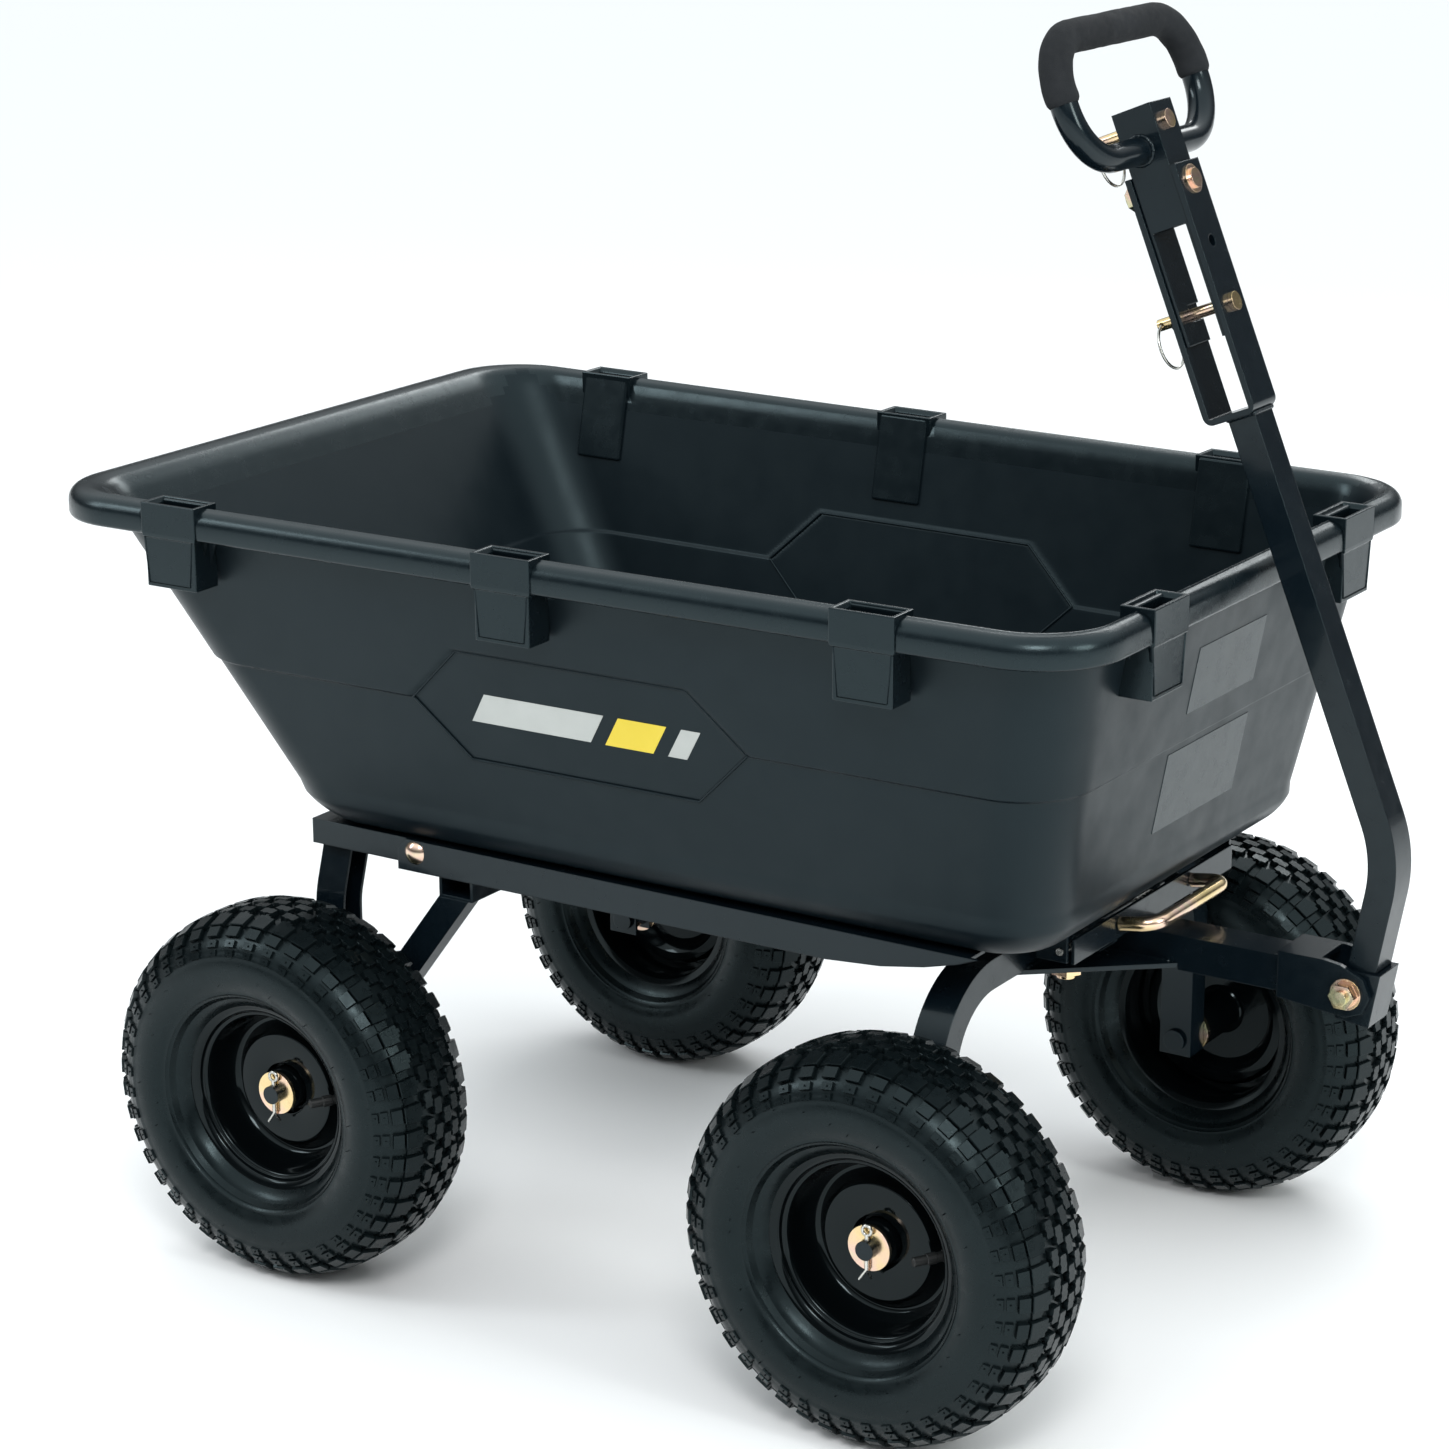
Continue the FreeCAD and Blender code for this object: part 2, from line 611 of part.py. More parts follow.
def rounded_wire(corners, radius):
    """A closed wire through the corners, each rounded by an arc."""
    edges = []
    count = len(corners)
    ends = []
    for i, corner in enumerate(corners):
        back = (corners[i - 1] - corner).normalize()
        ahead = (corners[(i + 1) % count] - corner).normalize()
        half = (math.pi - back.getAngle(ahead)) / 2
        reach = radius * math.tan(half)
        inward = (back + ahead).normalize()
        crown = corner + inward * (radius / math.cos(half) - radius)
        ends.append((corner + back * reach, crown, corner + ahead * reach))
    for i, (enter, crown, leave) in enumerate(ends):
        edges.append(Part.Arc(enter, crown, leave).toShape())
        edges.append(Part.LineSegment(leave, ends[(i + 1) % count][0]).toShape())
    return Part.Wire(edges)


def brim_outline(z, inset):
    """Outline of the rolled brim, inset from its outer edge."""
    rear, front = value_of("brim_rear_x") + inset, value_of("brim_front_x") - inset
    half_rear = value_of("tub_half_rear + brim_side") - inset
    half_front = value_of("tub_half_front + brim_side") - inset
    corners = [Vector(rear, -half_rear, z), Vector(front, -half_front, z),
               Vector(front, half_front, z), Vector(rear, half_rear, z)]
    return rounded_wire(corners, value_of("tub_corner + 14") - inset)


def lofted(sections):
    return Part.makeLoft(sections, True, True)


def bottom_fillet(shape, radius, z):
    edges = [e for e in shape.Edges if all(abs(v.Z - z) < 0.01 for v in e.Vertexes)]
    return shape.makeFillet(radius, edges)


wall = value_of("tub_wall")
floor_z, brim_z, brim_top = value_of("floor_z"), value_of("brim_z"), value_of("brim_top_z")
shell = bottom_fillet(lofted([tub_section(floor_z), tub_section(brim_top - 2)]),
                      value_of("tub_fillet"), floor_z)
slab = lofted([brim_outline(brim_z, 0), brim_outline(brim_top, 0)])
slab = slab.makeFillet(11, [e for e in slab.Edges
                            if all(abs(v.Z - brim_top) < 0.01 for v in e.Vertexes)])
under = lofted([brim_outline(brim_z - 5, 4), brim_outline(brim_top - 5, 4)])
throat = lofted([tub_section(brim_z - 10, -2), tub_section(brim_top, -2)])
lip = slab.cut(under.cut(throat))


def pocket_places():
    """(x, y, turn) of the eight stake pockets: three along each side and two at the front."""
    rear, front = value_of("brim_rear_x"), value_of("brim_front_x")
    half_rear = value_of("tub_half_rear + brim_side")
    slope = value_of("tub_half_rear - tub_half_front") / (front - rear)
    for alias in ("pocket_rear_x", "pocket_middle_x", "pocket_front_x"):
        x = value_of(alias)
        reach = half_rear - slope * (x - rear)
        for side in (1, -1):
            yield x, side * reach, side * (90 - math.degrees(math.atan(slope)))
    for side in (1, -1):
        yield front, side * value_of("pocket_front_y"), 0


def pocket_block():
    """A pocket's box modelled about its outer face, which looks along +X."""
    back, proud, width = value_of("pocket_depth"), value_of("pocket_proud"), value_of("pocket_width")
    low = value_of("pocket_low_z")
    return Part.makeBox(back + proud, width, value_of("pocket_top_z") - low, Vector(-back, -width / 2, low))


def placed(shape, x, y, turn):
    moved = shape.copy()
    moved.Placement = Placement(Vector(x, y, 0), Rotation(Vector(0, 0, 1), turn))
    return moved


outside = shell.fuse(lip)
inside = lofted([tub_section(floor_z + wall, -wall), tub_section(brim_top + 5, -wall)])
inside = bottom_fillet(inside, value_of("tub_fillet") - wall, floor_z + wall)
blocks = [placed(pocket_block(), *p) for p in pocket_places()]
slot_face = -value_of("slot_depth + 4.5")
slot = Part.makeBox(value_of("slot_depth"), value_of("slot_width"), 100,
                    Vector(slot_face, -value_of("slot_width / 2"), value_of("pocket_low_z + 4")))
slots = [placed(slot, *p) for p in pocket_places()]
tub_shape = outside.cut(inside).fuse(blocks).cut(slots)
node(solid(tub_shape), "tub")

# ---------------------------------------------------------------- latch
LATCH_X, LATCH_Z = "(%s + 71.5)" % FRONT_X, "(floor_z - 16)"
EAR_INNER = "(latch_half + 2.5)"
ears = [box((FRONT_X + " + 50", LATCH_X + " + 6"), ys, ("floor_z - 25", "floor_z - 0.5"))
        for ys in (("-%s - 3" % EAR_INNER, "-" + EAR_INNER), (EAR_INNER, EAR_INNER + " + 3"))]
web = box((FRONT_X + " + 15", LATCH_X + " - 6"), ("-%s - 3" % EAR_INNER, EAR_INNER + " + 3"),
          ("floor_z - 4", "floor_z - 0.5"))
pin_bore = rod("latch_pin_radius", "2 * latch_half + 40", LATCH_X, "-latch_half - 20", LATCH_Z, ALONG_Y)
node(cut(fuse(web, *ears), pin_bore), "latch_bracket")
node(rod("latch_pin_radius", "2 * latch_half + 14", LATCH_X, "-latch_half - 7", LATCH_Z, ALONG_Y),
     "latch_pivot_pin")

# one pressed plate across the cart, with two hooks that reach back under the strike
plate_face = box((LATCH_X + " + 7", LATCH_X + " + 10"), ("-latch_half", "latch_half"),
                 ("floor_z - 27", LATCH_Z + " + 10"))
hooks = []
for middle in ("-68", "68"):
    hook = padded_outline("XZ_Plane", [
        (LATCH_X + " + 9", LATCH_Z + " + 3"), (LATCH_X + " - 8", LATCH_Z + " + 3"),
        (STRIKE_X + " + 8", STRIKE_Z + " + 5"), (STRIKE_X + " + 8", STRIKE_Z + " - 8"),
        (STRIKE_X + " + 1", STRIKE_Z + " - 8"), (STRIKE_X + " + 1", STRIKE_Z + " - 14"),
        (LATCH_X + " - 4", STRIKE_Z + " - 14"), (LATCH_X + " + 9", STRIKE_Z + " - 4")], 4)
    hooks.append(place(hook, 0, middle, 0))
hook_bore = rod("latch_pin_radius + 0.05", "2 * latch_half", LATCH_X, "-latch_half", LATCH_Z, ALONG_Y)
node(cut(fuse(plate_face, *hooks), hook_bore), "latch_plate")


def release_handle():
    """The bent round bar that is pulled up to free the bed."""
    root_x, bar_x = value_of(LATCH_X + " + 11"), value_of(LATCH_X + " + 42.5")
    root_z, bar_z = value_of(LATCH_Z + " + 1"), value_of(LATCH_Z + " + 6")
    half = value_of("release_half")
    points = [Vector(root_x, -half, root_z), Vector(bar_x, -half, bar_z),
              Vector(bar_x, half, bar_z), Vector(root_x, half, root_z)]
    profile = circle(points[0], points[1] - points[0], value_of("release_radius"))
    return bent_bar(points, [16, 16], profile)


node(solid(release_handle()), "release_handle")

# torsion spring wound on the latch's pin
coil = rod("latch_pin_radius + 2.6", 24, LATCH_X, -12, LATCH_Z, ALONG_Y)
coil_bore = rod("latch_pin_radius + 0.6", 24, LATCH_X, -12, LATCH_Z, ALONG_Y)
node(cut(coil, coil_bore), "latch_spring")


# ---------------------------------------------------------------- steered front axle
def front_arch():
    """One bent square tube: both legs and the cross member, with feet, boss and gusset."""
    x = value_of(FRONT_X)
    width, depth = value_of("leg_width"), value_of("leg_depth")
    y = value_of("leg_inner_y + leg_width / 2")
    top = value_of("arch_top_z - arch_height / 2")
    foot = value_of("leg_foot_z")
    points = [Vector(x, -y, foot), Vector(x, -y, top), Vector(x, y, top), Vector(x, y, foot)]
    bend = value_of("arch_bend")
    tube_shape = bent_bar(points, [bend, bend],
                          rectangle(points[0], Vector(1, 0, 0), depth / 2, Vector(0, 1, 0), width / 2))
    boss = Part.makeCylinder(16, 20, Vector(x, 0, top - 12.5 - 20))
    thrust = Part.makeCylinder(24, 4.6, Vector(x, 0, top + 12.5))
    low = top - 12.5 - 4
    gusset = Part.Face(Part.makePolygon([
        Vector(x - 10, -105, low), Vector(x + 10, -105, low), Vector(x + 112, -19, low),
        Vector(x + 112, 19, low), Vector(x + 10, 105, low), Vector(x - 10, 105, low),
        Vector(x - 10, -105, low)])).extrude(Vector(0, 0, 4))
    pin = Part.makeCylinder(value_of("kingpin_radius + 0.05"), 120, Vector(x, 0, top - 60))
    axle = Part.makeCylinder(value_of("spindle_radius"), 500,
                             Vector(x, -250, value_of("wheel_radius")), Vector(0, 1, 0))
    return tube_shape.fuse([boss, thrust, gusset]).cut([pin, axle])


node(solid(front_arch()), "front_arch")

ARCH_FACE_X = "(%s + leg_depth / 2)" % FRONT_X
TONGUE_END_X = "(hitch_x - 46)"
tongue = cut(
    box((ARCH_FACE_X, TONGUE_END_X), ("-tongue_half", "tongue_half"),
        ("tongue_low_z", "tongue_low_z + tongue_height")),
    box((ARCH_FACE_X, TONGUE_END_X), ("-tongue_half + 2.5", "tongue_half - 2.5"),
        ("tongue_low_z + 2.5", "tongue_low_z + tongue_height - 2.5")),
    box((ARCH_FACE_X, FRONT_X + " + 112"), ("-tongue_half", "tongue_half"),
        ("tongue_low_z", "arch_top_z - arch_height")))
node(tongue, "tongue")

clevis_out = "(tongue_half + clevis_plate)"
side_plates = []
for side in (1, -1):
    cheek = padded_outline("XZ_Plane", [
        (TONGUE_END_X + " - 14", "hitch_z - 14"), ("hitch_x", "hitch_z - 20"),
        ("hitch_x + 14", "hitch_z - 14.3"), ("hitch_x + 20", "hitch_z"),
        ("hitch_x + 14", "hitch_z + 14.3"), ("hitch_x - 6", "hitch_z + 23"),
        ("hitch_x - 20", "hitch_z + 25"), (TONGUE_END_X + " - 14", "hitch_z + 25")],
        "clevis_plate")
    side_plates.append(place(cheek, 0, "%d * (tongue_half + clevis_plate / 2)" % side, 0))
bridge = box((TONGUE_END_X + " - 14", "hitch_x - 24"), ("-" + clevis_out, clevis_out),
             ("hitch_z + 20", "hitch_z + 25"))
clevis_bore = rod("hitch_bolt_radius", 80, "hitch_x", -40, "hitch_z", ALONG_Y)
node(cut(fuse(*side_plates, bridge), clevis_bore), "hitch_clevis")

hitch_bolt = fuse(rod("hitch_bolt_radius", "2 * %s + 14" % clevis_out, "hitch_x",
                      "-%s - 14" % clevis_out, "hitch_z", ALONG_Y),
                  hexagon(18, 7, "hitch_x", clevis_out, "hitch_z", ALONG_Y))
node(hitch_bolt, "hitch_bolt")
hitch_nut = cut(fuse(hexagon(19, 9, "hitch_x", "-%s - 10" % clevis_out, "hitch_z", ALONG_Y),
                     rod(13, 1.5, "hitch_x", "-%s - 1.5" % clevis_out, "hitch_z", ALONG_Y)),
                rod("hitch_bolt_radius", 20, "hitch_x", "-%s - 15" % clevis_out, "hitch_z", ALONG_Y))
node(hitch_nut, "hitch_nut")

# ---------------------------------------------------------------- handle
lean = math.radians(value_of("lean"))
UP_HANDLE = Vector(-math.sin(lean), 0, math.cos(lean))
AHEAD = Vector(math.cos(lean), 0, math.sin(lean))
PIVOT = (Vector(value_of("bend_x"), 0, value_of("bend_z")) + UP_HANDLE * value_of("pivot_rise")
         - AHEAD * value_of("yoke_set_back"))
LEANING = Placement(PIVOT, Rotation(Vector(0, 1, 0), -value_of("lean")))


def on_handle(obj):
    """Stands a piece modelled about the pivot bolt, +X ahead and +Z up, on the leaning handle."""
    obj.Placement = LEANING
    return obj


def handle_tube():
    depth, half = value_of("tube_depth"), value_of("tube_half")
    hitch = Vector(value_of("hitch_x") + 2, 0, value_of("hitch_z") - 18)
    bend = Vector(value_of("bend_x"), 0, value_of("bend_z"))
    top = bend + UP_HANDLE * value_of("pivot_rise - yoke_low")
    along = (bend - hitch).normalize()
    across = Vector(along.z, 0, -along.x)

    def run(inset):
        profile = rectangle(hitch, across, depth / 2 - inset, Vector(0, 1, 0), half - inset)
        return bent_bar([hitch, bend, top], [value_of("handle_bend")], profile)

    bore = Part.makeCylinder(value_of("hitch_bolt_radius + 0.05"), 80,
                             Vector(value_of("hitch_x"), -40, value_of("hitch_z")), Vector(0, 1, 0))
    return run(0).cut(run(2)).cut(bore)


node(solid(handle_tube()), "handle_tube")

# folded foot that wraps the front of the tube and turns on the hitch bolt
ear_out = 18.5
foot_points = [("hitch_x - 11", "hitch_z - 24"), ("hitch_x + 18", "hitch_z - 27"),
               ("hitch_x + 26", "hitch_z + 18"), ("hitch_x - 6", "hitch_z + 18"),
               ("hitch_x - 13", "hitch_z + 8")]
foot_block = padded_outline("XZ_Plane", foot_points, 2 * ear_out)
foot_room = padded_outline("XZ_Plane", [
    ("hitch_x - 30", "hitch_z - 40"), ("hitch_x + 12.1", "hitch_z - 40"),
    ("hitch_x + 23.2", "hitch_z + 30"), ("hitch_x - 30", "hitch_z + 30")], "2 * tube_half")
foot_bore = rod("hitch_bolt_radius + 0.05", 80, "hitch_x", -40, "hitch_z", ALONG_Y)
node(cut(foot_block, foot_room, foot_bore), "handle_foot")

HALF_DEPTH = "yoke_depth / 2"
yoke_outer = box(("-" + HALF_DEPTH, HALF_DEPTH), ("-yoke_half", "yoke_half"),
                 ("-yoke_low", "yoke_high"))
yoke_outer = rounded(yoke_outer, 8, lambda p, e: straight(e, Vector(0, 1, 0)) and p.z < 0)
yoke_inner = box(("-%s + yoke_strap" % HALF_DEPTH, "%s - yoke_strap" % HALF_DEPTH),
                 ("-yoke_half - 1", "yoke_half + 1"), ("-yoke_low + yoke_strap", "yoke_high + 1"))
holes = [rod("pin_radius + 0.05", 60, -30, 0, z, ALONG_X) for z in ("-pin_pitch", "-2 * pin_pitch")]
holes.append(rod(6, 60, -30, 0, 0, ALONG_X))
node(on_handle(cut(yoke_outer, yoke_inner, *holes)), "yoke")

# grip block: a square tube cut back to two cheeks that reach down between the yoke's straps; each
# cheek's lock pin hole opens to the left, so that the cheek can swing off the pin
HALF_BLOCK = "block_depth / 2"
block = cut(
    box(("-" + HALF_BLOCK, HALF_BLOCK), ("-block_half", "block_half"), ("-block_tail", "block_high")),
    box(("-%s + block_wall" % HALF_BLOCK, "%s - block_wall" % HALF_BLOCK),
        ("-block_half + block_wall", "block_half - block_wall"),
        ("-block_tail - 1", "block_high - block_wall")),
    box(("-%s + block_wall" % HALF_BLOCK, "%s - block_wall" % HALF_BLOCK),
        ("-block_half - 1", "block_half + 1"), ("-block_tail - 1", "-block_low")),
    rod(6.05, 60, -30, 0, 0, ALONG_X),
    rod("pin_radius + 0.05", 60, -30, 0, "pin_pitch", ALONG_X),
    rod("pin_radius + 0.05", 60, -30, 0, "-2 * pin_pitch", ALONG_X),
    box((-30, 30), (0, "block_half + 1"),
        ("-2 * pin_pitch - pin_radius - pin_way", "-2 * pin_pitch + pin_radius + pin_rise + pin_way")),
    rod("loop_radius", 60, -3, -30, "loop_low", ALONG_Y))
node(on_handle(block), "grip_block")

LOOP_X = -3.0          # plane of the grip loop, from the middle of the block


def loop_path(radius_of_bar, inner_radius, whole):
    """The D-shaped loop, or only the stretch that the foam covers."""
    half, low, high = value_of("loop_half"), value_of("loop_low"), value_of("loop_high")
    bend_low, bend_high = value_of("loop_bend_low"), value_of("loop_bend_high")

    def bar(radius):
        if whole:
            gap = value_of("block_half - block_wall")
            points = [(-gap, low), (-half, low), (-half, high), (half, high), (half, low), (gap, low)]
            bends = [bend_low, bend_high, bend_high, bend_low]
        else:
            foam_end = low + 48
            points = [(-half, foam_end), (-half, high), (half, high), (half, foam_end)]
            bends = [bend_high, bend_high]
        corners = [Vector(LOOP_X, y, z) for y, z in points]
        return bent_bar(corners, bends, circle(corners[0], corners[1] - corners[0], radius))

    outer = bar(radius_of_bar)
    if inner_radius:
        outer = outer.cut(bar(inner_radius))
    return outer


loop = loop_path(value_of("loop_radius"), value_of("loop_radius - 2"), True)
node(on_handle(solid(loop)), "grip_loop")
foam = loop_path(value_of("foam_radius"), value_of("loop_radius"), False)
node(on_handle(solid(foam)), "foam_grip")

# pivot bolt and nut of the folding grip
YOKE_FACE = "(yoke_depth / 2)"
pivot = fuse(rod(5.95, "yoke_depth + 14", "-%s - 12" % YOKE_FACE, 0, 0, ALONG_X),
             rod(11.5, 1.6, YOKE_FACE, 0, 0, ALONG_X), rod(8, 4.2, YOKE_FACE, 0, 0, ALONG_X))
node(on_handle(pivot), "grip_pivot_bolt")
pivot_nut = cut(hexagon(18, 9, "-%s - 10" % YOKE_FACE, 0, 0, ALONG_X),
                rod(5.95, 20, "-%s - 15" % YOKE_FACE, 0, 0, ALONG_X))
node(on_handle(pivot_nut), "grip_pivot_nut")


def clip_pin(label, z, seat):
    """A headed pin from the front, and the round wire clip that keeps it at the back."""
    tip = "-%s - pin_tail" % YOKE_FACE
    shank = rod("pin_radius", "(%s) - (%s)" % (seat, tip), tip, 0, z, ALONG_X)
    head = rod(7.5, 4, seat, 0, z, ALONG_X)
    cross_hole = rod(2, 20, tip + " + 4", -10, z, ALONG_Y)
    node(on_handle(cut(fuse(shank, head), cross_hole)), label)
    clip = doc.addObject("Part::Torus", "Clip")
    bind(clip, Radius1="clip_radius", Radius2=1.2)
    place(clip, tip + " + 4", 0, "(%s) - clip_radius" % z, ALONG_X)
    node(on_handle(group(clip)), label + "_ring")


clip_pin("lock_pin", "-2 * pin_pitch", YOKE_FACE)
clip_pin("tow_pin", "pin_pitch", "block_depth / 2")

# ---------------------------------------------------------------- checks and export
doc.recompute()
faults = [obj.Label for obj in doc.Objects if "Invalid" in obj.State or "Error" in obj.State]
for obj in nodes:
    if obj.Shape.isNull() or not obj.Shape.isValid() or not obj.Shape.Solids:
        faults.append(obj.Label)
if faults:
    raise SystemExit("failed: " + ", ".join(sorted(set(faults))))

os.makedirs("parts", exist_ok=True)
whole = Part.makeCompound([obj.Shape for obj in nodes])
for obj in nodes:
    obj.Shape.exportStep("parts/%s.step" % obj.Label)
limits = whole.BoundBox
print("%d nodes, X %.2f..%.2f  Y %.2f..%.2f  Z %.2f..%.2f" % (
    len(nodes), limits.XMin, limits.XMax, limits.YMin, limits.YMax, limits.ZMin, limits.ZMax))
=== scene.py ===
"""Looks of the garden cart: moulded tub, knobbly tyres, pressed rims, foam grip, welds, finishes.

Metres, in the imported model's frame: +X towards the pull handle, +Y to the cart's left, +Z up.
"""
import json
import math
import random

import bmesh
import bpy
from mathutils import Matrix, Vector, noise


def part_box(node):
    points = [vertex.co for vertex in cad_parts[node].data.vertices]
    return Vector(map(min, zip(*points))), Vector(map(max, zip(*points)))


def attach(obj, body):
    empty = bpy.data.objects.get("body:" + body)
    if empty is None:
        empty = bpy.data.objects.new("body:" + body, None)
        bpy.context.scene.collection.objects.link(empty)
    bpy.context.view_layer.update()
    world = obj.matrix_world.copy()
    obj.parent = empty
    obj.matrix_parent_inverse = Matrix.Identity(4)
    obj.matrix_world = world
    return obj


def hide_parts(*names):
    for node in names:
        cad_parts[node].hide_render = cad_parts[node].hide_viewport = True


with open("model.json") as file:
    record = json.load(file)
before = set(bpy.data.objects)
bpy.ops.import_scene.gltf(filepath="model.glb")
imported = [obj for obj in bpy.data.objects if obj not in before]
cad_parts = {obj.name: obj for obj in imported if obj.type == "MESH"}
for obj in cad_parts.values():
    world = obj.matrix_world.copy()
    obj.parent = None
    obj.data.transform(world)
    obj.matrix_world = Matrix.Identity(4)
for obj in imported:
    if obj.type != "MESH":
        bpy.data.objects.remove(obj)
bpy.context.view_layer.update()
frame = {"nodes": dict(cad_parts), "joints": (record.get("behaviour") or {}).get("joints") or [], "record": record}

scene = bpy.context.scene
JOINTS = {joint["name"]: joint for joint in frame["joints"]}


# ---------------------------------------------------------------- camera, light and floor
CAMERA_PLACE = Vector((1.6882, -2.698, 1.4226))
CAMERA_TARGET = Vector((-0.0765, 0.0002, 0.4566))
CAMERA_ROLL = -0.0043
CAMERA_LENS, SENSOR = 95.9, 36     # millimetres


def make_camera():
    """Stands ahead of the cart's right side, well above the brim, where the photo was taken."""
    look = (CAMERA_TARGET - CAMERA_PLACE).normalized()
    level = look.cross(Vector((0, 0, 1))).normalized()
    upright = level.cross(look)
    right = level * math.cos(CAMERA_ROLL) + upright * math.sin(CAMERA_ROLL)
    up = upright * math.cos(CAMERA_ROLL) - level * math.sin(CAMERA_ROLL)
    data = bpy.data.cameras.new("camera")
    data.sensor_width = SENSOR
    data.lens = CAMERA_LENS
    camera = bpy.data.objects.new("camera", data)
    axes = Matrix((right, up, -look)).transposed()
    camera.matrix_world = Matrix.Translation(CAMERA_PLACE) @ axes.to_4x4()
    scene.collection.objects.link(camera)
    scene.camera = camera


def softbox(name, place, target, size, power, colour=(1, 1, 1)):
    data = bpy.data.lights.new(name, "AREA")
    data.shape = "RECTANGLE"
    data.size, data.size_y = size
    data.energy = power
    data.color = colour
    lamp = bpy.data.objects.new(name, data)
    lamp.location = place
    lamp.rotation_euler = (Vector(target) - Vector(place)).to_track_quat("-Z", "Y").to_euler()
    scene.collection.objects.link(lamp)


SKY_RISE = (0.12, 0.80)            # share of the way up where the sky brightens
SKY_STRENGTH = (0.10, 1.45)
SKY_COLOUR = (0.93, 0.98, 1.0, 1)
FLOOR_SIZE = 60


def make_world():
    """A sky that is bright overhead and dim near the horizon, so that side walls stay dark."""
    world = bpy.data.worlds.new("studio")
    world.use_nodes = True
    tree = world.node_tree
    where = tree.nodes.new("ShaderNodeTexCoord").outputs["Generated"]
    split = tree.nodes.new("ShaderNodeSeparateXYZ")
    tree.links.new(where, split.inputs[0])
    rise = add_node(tree, "ShaderNodeMapRange", From_Min=SKY_RISE[0], From_Max=SKY_RISE[1],
                    To_Min=SKY_STRENGTH[0], To_Max=SKY_STRENGTH[1])
    rise.interpolation_type = "SMOOTHSTEP"
    tree.links.new(split.outputs["Z"], rise.inputs["Value"])
    sky = tree.nodes["Background"]
    sky.inputs["Color"].default_value = SKY_COLOUR
    tree.links.new(rise.outputs["Result"], sky.inputs["Strength"])
    scene.world = world


def make_studio():
    make_world()
    softbox("key_light", (1.6, -2.6, 3.0), (0, 0, 0.4), (1.1, 1.1), 60)
    softbox("side_light", (-2.6, -2.0, 2.2), (0, 0, 0.4), (0.8, 1.4), 26, (0.92, 0.97, 1.0))
    softbox("front_light", (3.2, -0.4, 1.8), (0.2, 0, 0.5), (0.8, 1.2), 34, (0.95, 1.0, 0.98))
    softbox("back_light", (-0.6, 3.0, 2.6), (0, 0, 0.5), (2.4, 0.7), 30)
    bpy.ops.mesh.primitive_grid_add(x_subdivisions=8, y_subdivisions=8, size=FLOOR_SIZE)
    floor = bpy.context.object
    floor.name = "floor"
    paint = bpy.data.materials.new("pale_floor")
    paint.use_nodes = True
    surface = paint.node_tree.nodes["Principled BSDF"]
    surface.inputs["Base Color"].default_value = (0.92, 0.92, 0.92, 1)
    surface.inputs["Roughness"].default_value = 0.7
    floor.data.materials.append(paint)
    scene.view_settings.view_transform = "Standard"


# ---------------------------------------------------------------- materials
def add_node(tree, kind, **sockets):
    made = tree.nodes.new(kind)
    for name, value in sockets.items():
        made.inputs[name.replace("_", " ")].default_value = value
    return made


def noise_node(tree, coordinates, scale, detail):
    made = add_node(tree, "ShaderNodeTexNoise", Scale=scale, Detail=detail)
    tree.links.new(coordinates, made.inputs["Vector"])
    return made.outputs["Fac"]


NOISE_LOW, NOISE_HIGH = 0.3, 0.7   # most of a noise's values lie between these
SMEARS_TO_PATCH = 7                # scale of the uneven gloss, against that of the colour's patches
COAT_ROUGHNESS = 0.08


def mapped(tree, source, low, high):
    made = add_node(tree, "ShaderNodeMapRange", From_Min=NOISE_LOW, From_Max=NOISE_HIGH,
                    To_Min=low, To_Max=high)
    tree.links.new(source, made.inputs["Value"])
    return made.outputs["Result"]


def finish_of(name, dark, light, rough, patch, grain, depth, strength=0.5, metal=0.0, coat=0.0,
              specular=0.5, tint=(1.0, 1.0, 1.0), edge=0.0):
    """A surface with patchy colour, uneven gloss and a fine grain.

    patch and grain are noise scales per metre, depth is the grain's height, edge rounds hard
    edges by that radius where the light meets them."""
    made = bpy.data.materials.new(name)
    made.use_nodes = True
    tree = made.node_tree
    surface = tree.nodes["Principled BSDF"]
    where = tree.nodes.new("ShaderNodeTexCoord").outputs["Object"]
    cloudy = noise_node(tree, where, patch, 5.0)
    ramp = tree.nodes.new("ShaderNodeValToRGB")
    ramp.color_ramp.elements[0].position = NOISE_LOW
    ramp.color_ramp.elements[1].position = NOISE_HIGH
    ramp.color_ramp.elements[0].color = (*dark, 1)
    ramp.color_ramp.elements[1].color = (*light, 1)
    tree.links.new(cloudy, ramp.inputs["Fac"])
    tree.links.new(ramp.outputs["Color"], surface.inputs["Base Color"])
    smears = noise_node(tree, where, patch * SMEARS_TO_PATCH, 4.0)
    tree.links.new(mapped(tree, smears, *rough), surface.inputs["Roughness"])
    bump = add_node(tree, "ShaderNodeBump", Strength=strength, Distance=depth)
    tree.links.new(noise_node(tree, where, grain, 2.0), bump.inputs["Height"])
    if edge:
        soft = add_node(tree, "ShaderNodeBevel", Radius=edge)
        soft.samples = 4
        tree.links.new(soft.outputs["Normal"], bump.inputs["Normal"])
    tree.links.new(bump.outputs["Normal"], surface.inputs["Normal"])
    surface.inputs["Metallic"].default_value = metal
    surface.inputs["Specular IOR Level"].default_value = specular
    surface.inputs["Specular Tint"].default_value = (*tint, 1)
    surface.inputs["Coat Weight"].default_value = coat
    surface.inputs["Coat Roughness"].default_value = COAT_ROUGHNESS
    return made


